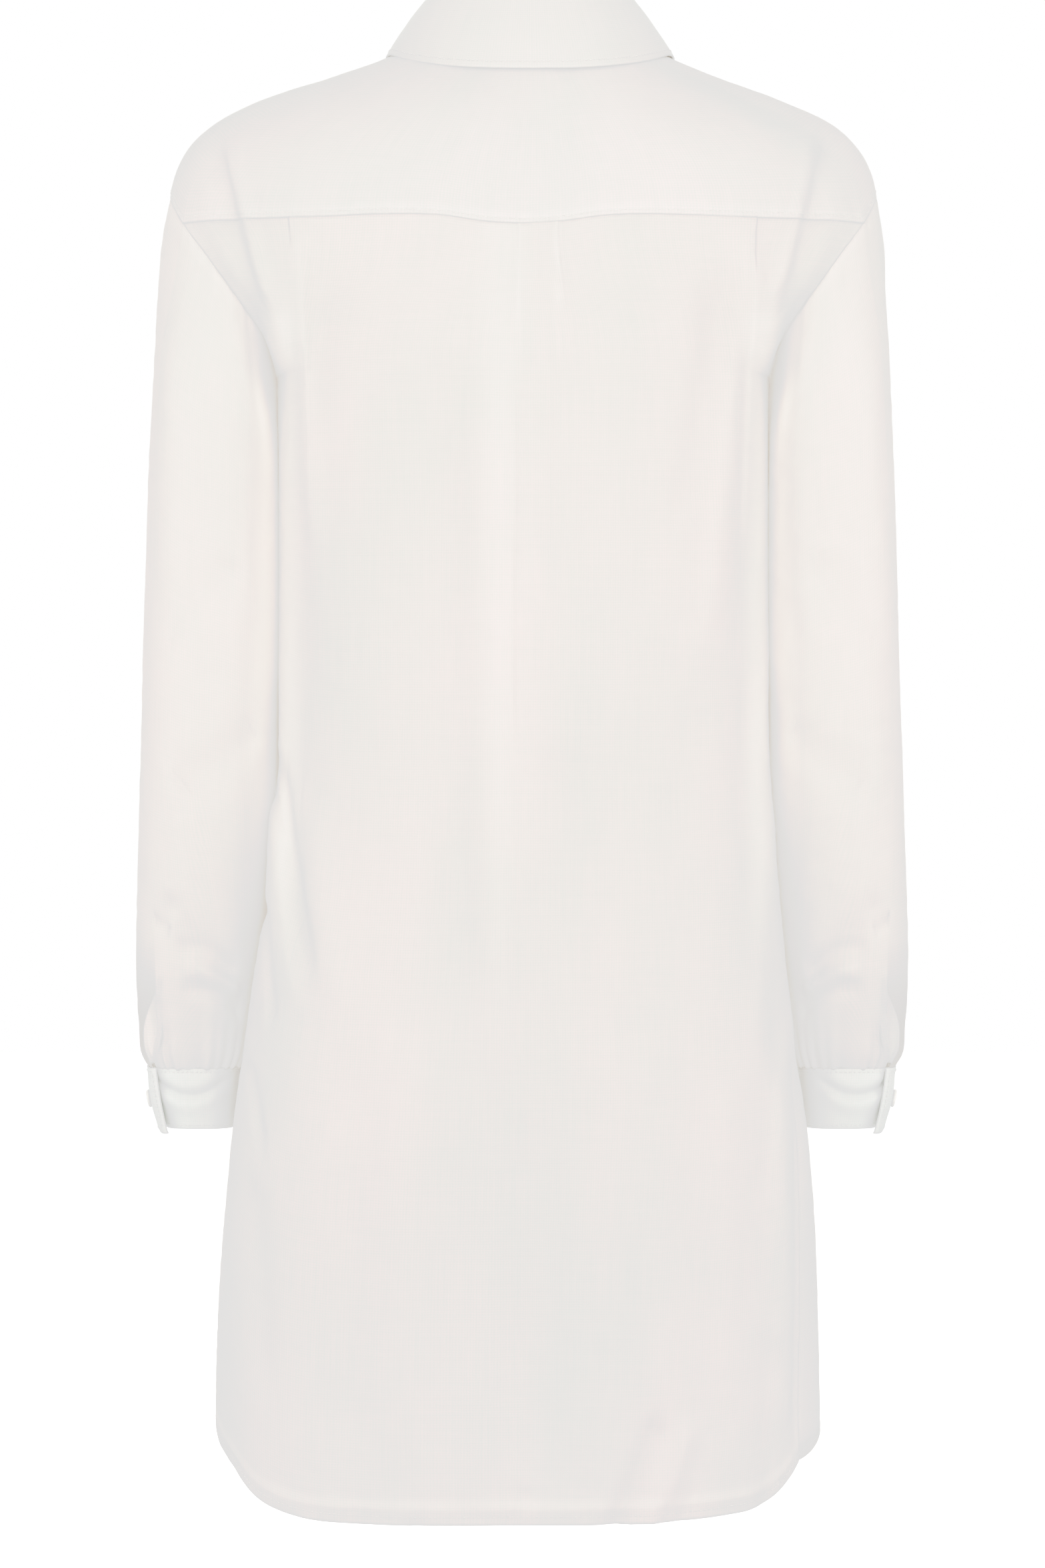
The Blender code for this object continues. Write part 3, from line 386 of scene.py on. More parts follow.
def tucked(place, edge, reach, deep=0.0003, rows=slice(None)):
    """Runs a sewn edge on under its neighbour, as a seam allowance does."""
    under = from_edge(facing(place), edge)
    place = place.copy()
    lines = from_edge(place, edge)
    lines[0, rows] += unit(lines[0, rows] - lines[1, rows]) * reach - under[0, rows] * deep
    return place


def beside(place, edges, wide):
    """1 within a seam allowance's width of the named edges, and 0 farther in."""
    near = np.zeros(place.shape[:2])
    for edge in edges:
        away = run_along(from_edge(place, edge))
        lines = from_edge(near, edge)
        np.maximum(lines, 1 - eased((away - wide) / (0.35 * wide) + 0.5), out=lines)
    return near


# How much whiter the cloth is painted where a sleeve hangs against the body: painted light against the shade
# between them
SLEEVE_CONTACT_PAINTED_LIGHT = 0.74


def painted_light_near_sleeve(place):
    """How much the body's cloth is painted whiter, as painted light against the shade beside the sleeves: beside
    the side seams, below the underarms and above the hip.
    """
    drop = -place[..., 2]
    level = eased((drop - 0.15) / 0.05) * eased((0.57 - drop) / 0.17)
    return SLEEVE_CONTACT_PAINTED_LIGHT * eased((np.abs(place[..., 0]) - 0.124) / 0.018) * level


def placed(name, data):
    made = bpy.data.objects.new(name, data)
    bpy.context.scene.collection.objects.link(made)
    return made


def panel(name, place, thick=CLOTH, joined=0, layers_and_painted_light=None):
    """A panel of cloth. In its first `joined` rows the last column is the first. It carries the run of its own
    threads, in metres along and across it, and how much whiter it is where cloth lies doubled and where light and
    highlights are painted."""
    rows, columns = place.shape[:2]
    place = place.copy()
    if joined:
        middle = (place[:joined, -1] + place[:joined, 0]) / 2
        place[:joined, -1] = middle
        place[:joined, 0] = middle
    index = np.arange(rows * columns).reshape(rows, columns)
    index[:joined, -1] = index[:joined, 0]
    used, packed = np.unique(index, return_inverse=True)
    packed = packed.reshape(rows, columns)
    faces = np.stack([packed[:-1, :-1], packed[1:, :-1], packed[1:, 1:], packed[:-1, 1:]], axis=-1)
    data = bpy.data.meshes.new(f"{name}_cloth")
    data.from_pydata(place.reshape(-1, 3)[used].tolist(), [], faces.reshape(-1, 4).tolist())
    data.shade_smooth()
    if layers_and_painted_light is not None:
        whitening_node = data.attributes.new("layers_and_painted_light", "FLOAT", "POINT")
        whitening_node.data.foreach_set("value", layers_and_painted_light.reshape(-1)[used].astype(np.float32))
    threads = np.stack(np.meshgrid(run_along(place[rows // 2]), run_along(place[:, columns // 2])), axis=-1)
    corners = [threads[:-1, :-1], threads[1:, :-1], threads[1:, 1:], threads[:-1, 1:]]
    layer = data.uv_layers.new(name="threads")
    layer.data.foreach_set("uv", np.stack(corners, axis=2).astype(np.float32).ravel())
    piece = placed(f"{name}_cloth", data)
    shell = piece.modifiers.new("Cloth thickness", "SOLIDIFY")
    shell.thickness = thick
    shell.offset = 0.0
    return piece


def feed(tree, node, *values, **named):
    """Sets a node's inputs in order or by name, and links those that are another node's output."""
    sockets = list(zip(node.inputs, values))
    sockets += [(node.inputs[name.replace("_", " ")], value) for name, value in named.items()]
    for socket, value in sockets:
        if isinstance(value, bpy.types.NodeSocket):
            tree.links.new(value, socket)
        else:
            socket.default_value = value
    return node


def added(tree, kind, *values, **named):
    return feed(tree, tree.nodes.new(f"ShaderNode{kind}"), *values, **named)


def toned(tree, amount, first, last, ends=(0.0, 1.0), blend="LINEAR"):
    """A colour between two, which an amount leads from one end to the other."""
    ramp = added(tree, "ValToRGB", amount)
    ramp.color_ramp.interpolation = blend
    for stop, position, colour in zip(ramp.color_ramp.elements, ends, (first, last)):
        stop.position = position
        stop.color = (*colour, 1.0)
    return ramp.outputs["Color"]


def fresh_material(name):
    material = bpy.data.materials.new(name)
    material.use_nodes = True
    return material, material.node_tree, material.node_tree.nodes["Principled BSDF"]


THREAD_GRID = 218.0
# The white that the cloth is mixed towards where it lies doubled, and where light and highlights are painted
DOUBLED_AND_PAINTED_WHITE = (0.945, 0.919, 0.894, 1.0)
# The tint's two ends, as shares of the cloth's own colour
COOL = (0.916, 0.966, 0.944)
WARM = (1.022, 1.004, 1.003)


def ivory_cloth(name, colour, sheer, weave_depth):
    """Fine ivory plain weave: slubs along both threads, a soft uneven tint, a little light through, and whiter
    where cloth lies doubled and where light and highlights are painted.
    """
    material, tree, shader = fresh_material(name)
    threads = added(tree, "UVMap")
    threads.uv_map = "threads"
    lie = threads.outputs["UV"]

    def slubs(scale_u, scale_v, detail):
        stretch = added(tree, "Mapping", Vector=lie, Scale=(scale_u, scale_v, 1.0))
        noise = added(tree, "TexNoise", Vector=stretch.outputs["Vector"], Scale=1.0, Detail=detail)
        return noise.outputs["Fac"]

    def combined(kind, first, second):
        node = added(tree, "Math", first, second)
        node.operation = kind
        return node.outputs[0]

    def grid(way):
        lines = added(tree, "TexWave", Vector=lie, Scale=THREAD_GRID, Distortion=2.2, Detail=2.0)
        lines.bands_direction = way
        return lines.outputs["Fac"]

    warp = slubs(1100.0, 22.0, 2.0)
    weft = slubs(26.0, 1100.0, 2.0)
    clouds = slubs(11.0, 6.0, 3.0)
    patches = slubs(16.0, 3.5, 1.0)
    open_weave = combined("MULTIPLY", combined("ADD", grid("X"), grid("Y")), patches)
    weave = combined("ADD", warp, combined("MULTIPLY", weft, 0.7))
    weave = combined("ADD", weave, combined("MULTIPLY", open_weave, 0.95))
    level = combined("ADD", combined("MULTIPLY", weave, 0.26), combined("MULTIPLY", clouds, 0.38))
    cool, warm = ([part * scale for part, scale in zip(colour, shade)] for shade in (COOL, WARM))
    tint = toned(tree, level, cool, warm, ends=(0.34, 0.70))
    # Whiter where cloth lies doubled, and where light and highlights are painted
    whitening_node = added(tree, "Attribute")
    whitening_node.attribute_name = "layers_and_painted_light"
    whiter = combined("MULTIPLY", whitening_node.outputs["Fac"], 0.72)
    whitened_tint = added(tree, "MixRGB", Fac=whiter, Color1=tint, Color2=DOUBLED_AND_PAINTED_WHITE).outputs["Color"]
    bump = added(tree, "Bump", Strength=0.35, Distance=weave_depth, Height=weave).outputs["Normal"]
    feed(
        tree,
        shader,
        Base_Color=whitened_tint,
        Normal=bump,
        Roughness=0.82,
        Specular_IOR_Level=0.25,
        Sheen_Weight=0.22,
        Sheen_Roughness=0.40,
        Sheen_Tint=(0.86, 1.0, 0.93, 1.0),
    )
    through = added(tree, "BsdfTranslucent", Color=whitened_tint, Normal=bump)
    thinner = combined("ADD", combined("MULTIPLY", whitening_node.outputs["Fac"], -0.5 * sheer), sheer)
    mixed = added(tree, "MixShader", thinner, shader.outputs["BSDF"], through.outputs["BSDF"])
    feed(tree, tree.nodes["Material Output"], Surface=mixed.outputs["Shader"])
    return material


def worn(piece, material, *solids, slot="shirting"):
    """A finished piece: its material, what it moves with, and the frame's solids that it stands for."""
    piece.data.materials.append(material)
    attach(piece, "root")
    if solids:
        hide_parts(*solids)


def read_along(line, known, at):
    """Points of a line, or ways out of it, at places between its own."""
    return np.stack([np.interp(at, known, line[:, k]) for k in range(3)], axis=-1)


# A stitch has a point at each end, 0 and 1, and a triangle at each side of its middle, 2 to 4 and 5 to 7
STITCH_FACES = (
    (0, 3, 2), (0, 4, 3), (0, 2, 4), (1, 5, 6), (1, 6, 7), (1, 7, 5), (2, 3, 6, 5), (3, 4, 7, 6), (4, 2, 5, 7),
)


def stitches(name, lines, step=0.0028, long=0.0021, wide=0.00020, high=0.00016):
    """Rows of thread, one bead a stitch. Each line is a run of points on the cloth and the ways out of it."""
    vertices = []
    faces = []
    for line, out in lines:
        run = run_along(line)
        count = max(1, int(run[-1] / step))
        middles = (np.arange(count) + 0.5) * run[-1] / count
        first, middle, last = (read_along(line, run, middles + shift) for shift in (-long / 2, 0, long / 2))
        up = unit(read_along(out, run, middles)) * high
        aside = unit(np.cross(last - first, up)) * wide
        for k in range(count):
            faces += [[len(vertices) + corner for corner in face] for face in STITCH_FACES]
            vertices += [first[k] - up[k], last[k] - up[k]]
            for end in (first[k], last[k]):
                edge = end * 0.3 + middle[k] * 0.7 + up[k]
                vertices += [edge - aside[k], edge + up[k], edge + aside[k]]
    data = bpy.data.meshes.new(name)
    data.from_pydata([list(v) for v in vertices], [], faces)
    data.shade_smooth()
    worn(placed(name, data), sewing_thread)


def sewing_line(place, line, above=0.00008, thick=CLOTH):
    """A line of sewing along one row, or along np.s_[:, column], of a panel."""
    out = facing(place)[line]
    return place[line] + out * (thick / 2 + above), out


IVORY = (0.888, 0.852, 0.839)
single_cloth = ivory_cloth("ivory single cloth", IVORY, 0.60, 0.00006)
double_cloth = ivory_cloth("ivory double cloth", tuple(0.955 * part for part in IVORY), 0.50, 0.00005)


sewing_thread, tree, shader = fresh_material("ivory sewing thread")
twist = added(tree, "TexNoise", Scale=900.0).outputs["Fac"]
thread_tint = toned(tree, twist, (0.800, 0.780, 0.750), (0.900, 0.885, 0.860))
feed(tree, shader, Base_Color=thread_tint, Roughness=0.6)

# The box pleat's folded edges across the panel, and its two lines and its ridge to the right of the centre back
PLEAT_EDGES = (-0.0155, 0.1005)
PLEAT_LINES = (-0.0031, 0.0201)
PLEAT_RIDGE = -0.013
PLEAT_HIGH = 0.0005
PLEAT_END_DROP = 0.190
# Each small tuck: its place across the panel, the drop where it ends, and the side that it is laid to
TUCKS = ((-0.6786, 0.130, 1.0), (0.6786, 0.150, -1.0))
TUCK_HIGH = 0.0011
# How much whiter the cloth is in the turned-up hem and at the side seams, where it lies doubled; on the pleat's
# lines, doubled cloth with a painted highlight; and on the ridge, a painted highlight
HEM_LAYERS = 0.20
RIDGE_PAINTED_HIGHLIGHT = 0.10
LINE_LAYERS_AND_PAINTED_HIGHLIGHT = 0.16
SIDE_LAYERS = 0.08

even_columns = np.concatenate([np.linspace(-0.979, -0.58, 52), np.linspace(-0.57, 0.979, 132)])
near_sides = BESIDE_SEAM[:-1] / 0.20
even_columns = np.concatenate([-1 + near_sides, even_columns, 1 - near_sides[::-1]])
sharp_edges = np.array([*PLEAT_EDGES, *(tuck[0] for tuck in TUCKS)])
sharp_columns = (sharp_edges[:, None] + [-0.006, -0.0011, 0.0011, 0.006]).ravel()
clear = np.min(np.abs(even_columns[:, None] - sharp_columns), axis=1) > 0.0035
back_columns = np.unique(np.concatenate([even_columns[clear], sharp_columns]))


def fading_seam(seam):
    """1 along the middle of the yoke seam, and 0 at its ends, where the cloth lies flatter."""
    return eased((0.172 - np.abs(seam[:, 0])) / 0.03)


back_upper = shares(0.10, 42, last=False)
back_lower = shares(0.64, 168, first=False)[1:]
back_plain = back_surface(back_columns, back_upper, back_lower)
back_place = folded(back_plain)
back_drop = -back_place[..., 2]
fine = fold_height(back_place[..., 0], back_drop, BACK_CREASES)
inside_pleat = (back_columns > PLEAT_EDGES[0]) & (back_columns < PLEAT_EDGES[1])
fine += PLEAT_HIGH * inside_pleat * eased((PLEAT_END_DROP - back_drop) / 0.075)
for tuck, end, side in TUCKS:
    beyond = np.where(side * (back_columns - tuck) > 0, np.exp(-np.abs(back_columns - tuck) / 0.05), 0)
    fine += TUCK_HIGH * beyond * eased((end - back_drop) / 0.030)
back_place = back_place + outward(back_place) * fine[..., None]
arm_rows = len(back_upper)
hold = eased(np.minimum(1 - np.abs(back_columns), 0.04) / 0.04)[None, :, None]
back_place[:arm_rows] = back_plain[:arm_rows] * (1 - hold) + back_place[:arm_rows] * hold
back_place = sewn(settled(back_place), ("first", "last"))
back_place = sewn(back_place, ("top",), roll=0.00035 * fading_seam(back_place[0]))
back_hem_row = len(back_place) - 6
back_x, back_drop = back_place[..., 0], -back_place[..., 2]
# Painted highlight along the ridge
back_layers_and_painted_light = RIDGE_PAINTED_HIGHLIGHT * bell(back_x - PLEAT_RIDGE, 0.0130) * eased((0.60 - back_drop) / 0.20)
# The pleat's lines: doubled cloth, with a painted highlight
for line in PLEAT_LINES:
    back_layers_and_painted_light += LINE_LAYERS_AND_PAINTED_HIGHLIGHT * bell(back_x - line, 0.0012) * eased((0.200 - back_drop) / 0.06)
back_layers_and_painted_light = np.maximum(back_layers_and_painted_light, SIDE_LAYERS * beside(back_place, ("first", "last"), 0.007))
back_layers_and_painted_light[back_hem_row - 2 :] = HEM_LAYERS
back_place = tucked(back_place, "top", 0.0012)
for edge in ("first", "last"):
    back_place = tucked(back_place, edge, 0.0007, rows=slice(2, arm_rows))
# Painted light beside the sleeves, against the shade there
back_layers_and_painted_light = np.maximum(back_layers_and_painted_light, painted_light_near_sleeve(back_place))
back_hemmed = hemmed(back_place)
turned_rows = len(back_hemmed) - len(back_place)
back_layers_and_painted_light = np.concatenate([back_layers_and_painted_light, np.full((turned_rows, len(back_columns)), HEM_LAYERS)])
back = panel("back", back_hemmed, layers_and_painted_light=back_layers_and_painted_light)
worn(back, single_cloth, "back")
stitches("back_hem_stitches", [sewing_line(back_place, back_hem_row, HEM_STITCH)])


# The yoke: two layers of the same cloth over both shoulders, from the back seam to a short seam in front.
# The back and the fronts are caught between its layers, and the seams are stitched down on the yoke's side.

# The neck lies this far to the right of the centre
NECK_SHIFT = 0.004
# Degrees round the neck beside which the yoke's back seam ends, and where its short front seam starts
YOKE_SIDE = 62.0
YOKE_FRONT = 105.0
YOKE_THICK = 0.0007
YOKE_STITCH = 0.0003
# How much whiter the yoke is over the seam allowances under its back edge
YOKE_LAYERS = 0.10

# The neckline, in degrees from the centre back to the centre front
NECKLINE = table(
    "around x y drop",
    (0, 0.0, -64.0, 8.0), (30, 37.0, -56.5, 6.5), (60, 64.0, -33.5, 1.8),
    (80, 72.5, -12.5, -1.8), (90, 74.0, -2.0, -3.0), (105, 73.5, 14.0, -2.0),
    (120, 69.0, 30.0, 7.5), (140, 54.5, 47.5, 28.0), (160, 29.0, 58.0, 49.0),
    (180, 0.0, 61.0, 58.0),
)


def round_neck(rows, around):
    """A point of a curve round the neck, from a table of its right half; around may pass 180 degrees."""
    around = (np.asarray(around, dtype=float) + 180) % 360 - 180
    known, *columns = (
        np.concatenate([mirror * rows[name][:0:-1], rows[name]])
        for name, mirror in (("around", -1), ("x", -1), ("y", 1), ("drop", 1))
    )
    x, y, drop = (follow(known, column, around) for column in columns)
    shift = NECK_SHIFT * np.clip((180 - np.abs(around)) / 60, 0, 1)
    return points(x + shift, y, -drop)


def yoke_columns(around, inner, outer, outer_way, along, first, last):
    """Columns of the yoke from the neckline to its outer edge; first and last say how straight each end runs."""
    angle = np.radians(around)
    slope = 0.450 + 0.028 * np.sin(angle) + 0.285 * np.cos(angle) ** 2
    level = np.sqrt(1 - slope**2)
    inner_way = points(np.sin(angle) * level, -np.cos(angle) * level, -slope)
    chord = np.linalg.norm(outer - inner, axis=-1, keepdims=True)
    t = along[:, None, None]
    return bezier(inner, inner + first * chord * inner_way, outer - last * chord * unit(outer_way), outer, t)


def shoulder(around, turn, along):
    """The yoke's columns over the shoulder, from the neckline to the armhole."""
    side = np.sign(around)
    inner = round_neck(NECKLINE, around)
    outer = armhole(1, turn) * points(side, 1, 1)
    return yoke_columns(around, inner, outer, points(side * 0.25, 0, -0.97), along, 0.62, 0.30)


def yoke_surface(across, shoulder_turns, along):
    """Rows from the neckline outwards; columns from the left front over the back to the right front."""
    back_around = across * YOKE_SIDE
    span = (shoulder_turns - YOKE_BACK_TURN) / (YOKE_FRONT_TURN - 1 - YOKE_BACK_TURN)
    side_around = YOKE_SIDE + (YOKE_FRONT - YOKE_SIDE) * span
    inner = round_neck(NECKLINE, back_around)
    middle = yoke_columns(back_around, inner, yoke_seam(across), yoke_fall(across), along, 0.38, 0.38)
    right = shoulder(side_around, shoulder_turns, along)
    left = shoulder(-side_around, shoulder_turns, along)
    blend = eased(span)[None, :, None]
    right = right + (middle[:, -1:] - right[:, :1]) * (1 - blend)
    left = left + (middle[:, :1] - left[:, :1]) * (1 - blend)
    return np.concatenate([left[:, :0:-1], middle, right[:, 1:]], axis=1)


yoke_across = np.linspace(-1, 1, 190)
yoke_turns = YOKE_BACK_TURN + (YOKE_FRONT_TURN - 1 - YOKE_BACK_TURN) * shares(0.055, 24, first=False)
yoke_along = shares(0.110, 44)
yoke_plain = yoke_surface(yoke_across, yoke_turns, yoke_along)
yoke_place = folded(yoke_plain, True)
yoke_arm = len(yoke_turns)
arm_hold = 1 - eased((yoke_along - 0.92) / 0.08)[:, None, None]
for part in (np.s_[:, :yoke_arm], np.s_[:, -yoke_arm:]):
    yoke_place[part] = yoke_plain[part] * (1 - arm_hold) + yoke_place[part] * arm_hold
yoke_place = sewn(settled(yoke_place, 0.00025), ("top", "first", "last"), pucker=0.0003)
yoke_place = sewn(yoke_place, ("bottom",), roll=0.00030 * fading_seam(yoke_place[-1]), pucker=0.0003)
for edge in ("first", "last"):
    yoke_place = tucked(yoke_place, edge, 0.0007)
yoke_layers = YOKE_LAYERS * beside(yoke_place, ("bottom",), 0.0060)
yoke = panel("yoke", yoke_place + facing(yoke_place) * 0.0002, YOKE_THICK, layers_and_painted_light=yoke_layers)
worn(yoke, double_cloth, "yoke")
yoke_seams = (-4, np.s_[:, 3], np.s_[:, -4])
stitches("yoke_stitches", [sewing_line(yoke_place, seam, YOKE_STITCH, YOKE_THICK) for seam in yoke_seams])


# The two fronts: each one layer from the neckline and the yoke's short seam down to its own curved hem.
# They are sewn to the back at the side seams. The right one carries the button band over the left one's edge.

FRONT_HEM = table(
    "across left right",
    (0.00, 800.0, 800.0), (0.30, 802.5, 804.5), (0.55, 806.5, 810.0), (0.76, 810.5, 819.0),
    (0.88, 813.0, 826.0), (1.00, 815.0, 831.0),
)
# The share of a front's top edge that lies along the neckline
NECK_SHARE = 0.38


def front_surface(side, across, upper, lower):
    """Rows of one front from the neckline and shoulder to the hem; across is 0 at the centre front."""
    neck = across[across <= NECK_SHARE] / NECK_SHARE
    neckline = round_neck(NECKLINE, side * (180 - (180 - YOKE_FRONT) * neck))
    along = (across[across > NECK_SHARE] - NECK_SHARE) / (1 - NECK_SHARE)
    over = yoke_surface(np.array([-1.0, 1.0]), np.array([YOKE_BACK_TURN, YOKE_FRONT_TURN - 1]), along)
    top = np.concatenate([neckline, over[:, -1 if side > 0 else 0]])
    lean = np.interp(across, [0, NECK_SHARE, 1], [0.50, 0.80, 0.30])
    top_way = unit(points(side * 0.04 * across, lean, -np.sqrt(1 - lean**2)))
    turns = YOKE_FRONT_TURN + (UNDERARM_TURN - YOKE_FRONT_TURN) * upper
    edge = {1: armhole(side, turns)}
    column = hung(top, top_way, side * across, False, edge, upper)
    hem = follow(FRONT_HEM["across"], FRONT_HEM["left" if side < 0 else "right"], across)
    s = lower[:, None]
    drop = UNDERARM_DROP + (hem - UNDERARM_DROP) * s
    reach = across * (2 - seam_across(side, UNDERARM_DROP + (SIDE_HEM[side] - UNDERARM_DROP) * s))
    ahead = girth(side * np.minimum(reach, 1), drop, False)
    behind = girth(side * np.minimum(2 - reach, 1), drop, True)
    return np.concatenate([column, np.where(reach[..., None] > 1, behind, ahead)])


SIDES = ((-1, "left"), (1, "right"))


def as_seen(side, place):
    """Columns run to the right as seen from outside, so those of the right side's pieces are turned round."""
    return place if side < 0 else place[:, ::-1]


front_across = shares(0.20, 88)
front_upper = shares(0.14, 44, last=False)
front_lower = shares(0.61, 150, first=False)[1:]
for side, name in SIDES:
    plain = front_surface(side, front_across, front_upper, front_lower)
    place = folded(plain, True)
    hold = eased((1 - front_across) / 0.06)[None, :, None]
    arm_rows = len(front_upper)
    place[:arm_rows] = plain[:arm_rows] * (1 - hold) + place[:arm_rows] * hold
    place = sewn(settled(as_seen(side, place)), ("top", "last" if side < 0 else "first"))
    front_hemmed = hemmed(place)
    # The fronts carry the same painted light beside the sleeves, against the shade there
    front = panel(f"front_{name}", front_hemmed, layers_and_painted_light=painted_light_near_sleeve(front_hemmed))
    worn(front, single_cloth, f"front_{name}")
    stitches(f"front_{name}_hem_stitches", [sewing_line(place, -6, HEM_STITCH)])


# The button band: a straight doubled strip down the right front's edge, stitched along both sides.
# It laps over the left front's edge, and a worked buttonhole lies under each of its seven buttons.

BAND_HALF = 0.015
BAND_THICK = 0.0009
FIRST_BUTTON_DROP = 0.105
BUTTON_STEP = 0.092
BUTTON_COUNT = 7


def front_at(x):
    """Points of the fronts' cloth, row by row, at a distance x to the right of the centre front."""
    side = 1 if x >= 0 else -1
    near = folded(front_surface(side, np.linspace(0, 0.25, 12), front_upper, front_lower), True)
    return np.array([read_along(row, np.abs(row[:, 0]), abs(x)) for row in near])


band_xs = BAND_HALF - 2 * BAND_HALF * shares(2 * BAND_HALF, 12)
band_place = np.stack([front_at(x) for x in band_xs], axis=1)
band_place[..., 0] = band_xs[None, :]
band_place = band_place + facing(band_place) * 0.0014
band_place = sewn(settled(band_place, 0.0002), ("first", "last"), roll=0.0003, pucker=0.00018)
band_place[0] += unit(band_place[1] - band_place[0]) * 0.0006
band = panel("front_band", band_place, BAND_THICK)
stiff_cloth = ivory_cloth("ivory stiffened cloth", (0.680, 0.645, 0.620), 0.12, 0.00005)
worn(band, stiff_cloth, "front_band", slot="stiffened")
band_seams = (np.s_[:, 4], np.s_[:, -5])
stitches("band_stitches", [sewing_line(band_place, seam, thick=BAND_THICK) for seam in band_seams])

band_middle = len(band_xs) // 2
band_line = band_place[:, band_middle]
band_ways = facing(band_place)[:, band_middle]


def on_band(drop):
    """The place on the band's face at a drop, and the way out of it."""
    spot = read_along(band_line, -band_line[:, 2], drop)
    spot[0] = 0.0
    return spot, unit(read_along(band_ways, -band_line[:, 2], drop))


# A buttonhole's length, half its width, and the spacing of its stitches
HOLE_LONG = 0.0140
HOLE_HALF = 0.0009
HOLE_STEP = 0.00050
hole_lines = []
for k in range(BUTTON_COUNT):
    middle_drop = FIRST_BUTTON_DROP + BUTTON_STEP * k
    for end_drop in np.arange(middle_drop - HOLE_LONG / 2, middle_drop + HOLE_LONG / 2, HOLE_STEP):
        spot, way = on_band(end_drop)
        spot = spot + way * (BAND_THICK / 2 + 0.0001)
        for side in (-1, 1):
            bar = spot + np.outer([0.25, 1.9], [side * HOLE_HALF, 0.0, 0.0])
            hole_lines.append((bar, np.array([way, way])))
stitches("buttonhole_stitches", hole_lines, step=0.0016, long=0.0015, wide=0.00022)


# The collar stand: a stiffened strip that rises from the neckline and leans in. Its right end laps over its
# left one in front, under a button.

# Its height, how far its top leans in, how far it clears the yoke, the degrees that each end runs past the
# centre front, and how much lower it is in front
STAND_RISE = 0.030
STAND_LEAN = 0.0180
STAND_CLEAR = 0.0014
STAND_LAP = 10.0
STAND_SLOPE = 0.004
COLLAR_THICK = 0.0010


def stand_line(around, share):
    """A line round the stand, from its foot at 0 to its top edge at 1, and the level way out of it."""
    angle = np.radians(around)
    out = points(np.sin(angle), -np.cos(angle), 0)
    rise = STAND_RISE - STAND_SLOPE * (1 - np.cos(angle)) / 2
    foot = round_neck(NECKLINE, around)
    return foot - out * (STAND_LEAN * share) + points(0, 0, STAND_CLEAR + rise * share), out


stand_around = np.linspace(-180 - STAND_LAP, 180 + STAND_LAP, 260)
stand_lap = eased((stand_around - 145) / 22) * 0.0023
stand_rows = []
for share in 1 - shares(STAND_RISE, 9):
    line, out = stand_line(stand_around, share)
    bulge = 0.0007 * math.sin(math.pi * share)
    stand_rows.append(line + out * (stand_lap + bulge)[:, None])
stand_place = np.array(stand_rows)
for end in (0, -1):
    near = np.abs(stand_around - stand_around[end]) / 7.0
    round_end = (1 - np.sqrt(np.clip(1 - (1 - np.clip(near, 0, 1)) ** 2, 0, 1))) * 0.010
    stand_place[..., 2] -= round_end * np.linspace(1, 0, len(stand_place))[:, None]
stand_place = sewn(settled(stand_place, 0.0001), ("top", "bottom"), roll=0.00025, pucker=0.0001)
stand = panel("collar_stand", stand_place, COLLAR_THICK)
worn(stand, stiff_cloth, "collar_stand", slot="stiffened")
stitches("stand_stitches", [sewing_line(stand_place, -4, thick=COLLAR_THICK)])


# The collar fall: a stiffened double layer that rolls over the top of the stand and comes down outside it,
# low at the back and to two points in front. It is stitched all round, close to its edge.

# The fall ends this many degrees round the neck at each side
COLLAR_OPEN = 170.0
FALL_EDGE = table(
    "around x y drop",
    (0, 0.0, -74.4, 17.2), (30, 41.2, -68.0, 15.5), (60, 72.2, -41.0, 8.0),
    (80, 84.0, -13.0, 1.2), (90, 86.2, 0.5, 0.6), (105, 86.8, 21.5, 4.4),
    (120, 86.5, 48.0, 19.0), (140, 79.0, 74.5, 48.0), (155, 69.0, 87.0, 74.0),
    (170, 56.0, 94.0, 101.0),
)
FALL_ROLL = table(
    "away up",
    (0.0, 1.9), (0.3, 3.2), (1.2, 4.2), (2.6, 4.6), (4.0, 3.8),
    (5.0, 2.2),
)
FALL_BELLY = table(
    "share out",
    (0.00, 0.0), (0.35, 1.0), (0.70, 0.8), (1.00, 0.0),
)

near_points = BESIDE_SEAM[:-1] / 0.0013
fall_around = np.concatenate(
    [-COLLAR_OPEN + near_points, np.linspace(-166.5, 166.5, 236), COLLAR_OPEN - near_points[::-1]]
)
fall_start, fall_out = stand_line(fall_around, 1.0)
fall_rows = []
for away, up in zip(FALL_ROLL["away"], FALL_ROLL["up"]):
    fall_rows.append(fall_start + fall_out * away + points(0, 0, up))
fall_edge = round_neck(FALL_EDGE, fall_around)
fall_top = fall_rows[-1]
for share in shares(0.046, 16, first=False)[1:]:
    belly = follow(FALL_BELLY["share"], FALL_BELLY["out"], share)
    fall_rows.append(fall_top * (1 - share) + fall_edge * share + fall_out * belly)
fall_place = settled(np.array(fall_rows), 0.00018)
fall_place = sewn(fall_place, ("bottom", "first", "last"), roll=0.0003, pucker=0.00012)
fall = panel("collar_fall", fall_place, COLLAR_THICK)
worn(fall, stiff_cloth, "collar_fall", slot="stiffened")
fall_sewing = [sewing_line(fall_place[:, 5:-5], -6, thick=COLLAR_THICK)]
fall_sewing += [sewing_line(fall_place[8:-5], np.s_[:, column], thick=COLLAR_THICK) for column in (5, -6)]
stitches("fall_stitches", fall_sewing)


# The sleeves: one layer each, set into the armholes, hanging close beside the body. A slit runs up the outer
# side from the wrist, and small uneven tucks take the fullness into the cuff.

CUFF_TOP = 0.6075
# The slit starts this share of the way down the sleeve and is twice this wide
SLIT_SHARE = 0.905
SLIT_HALF = 0.0056
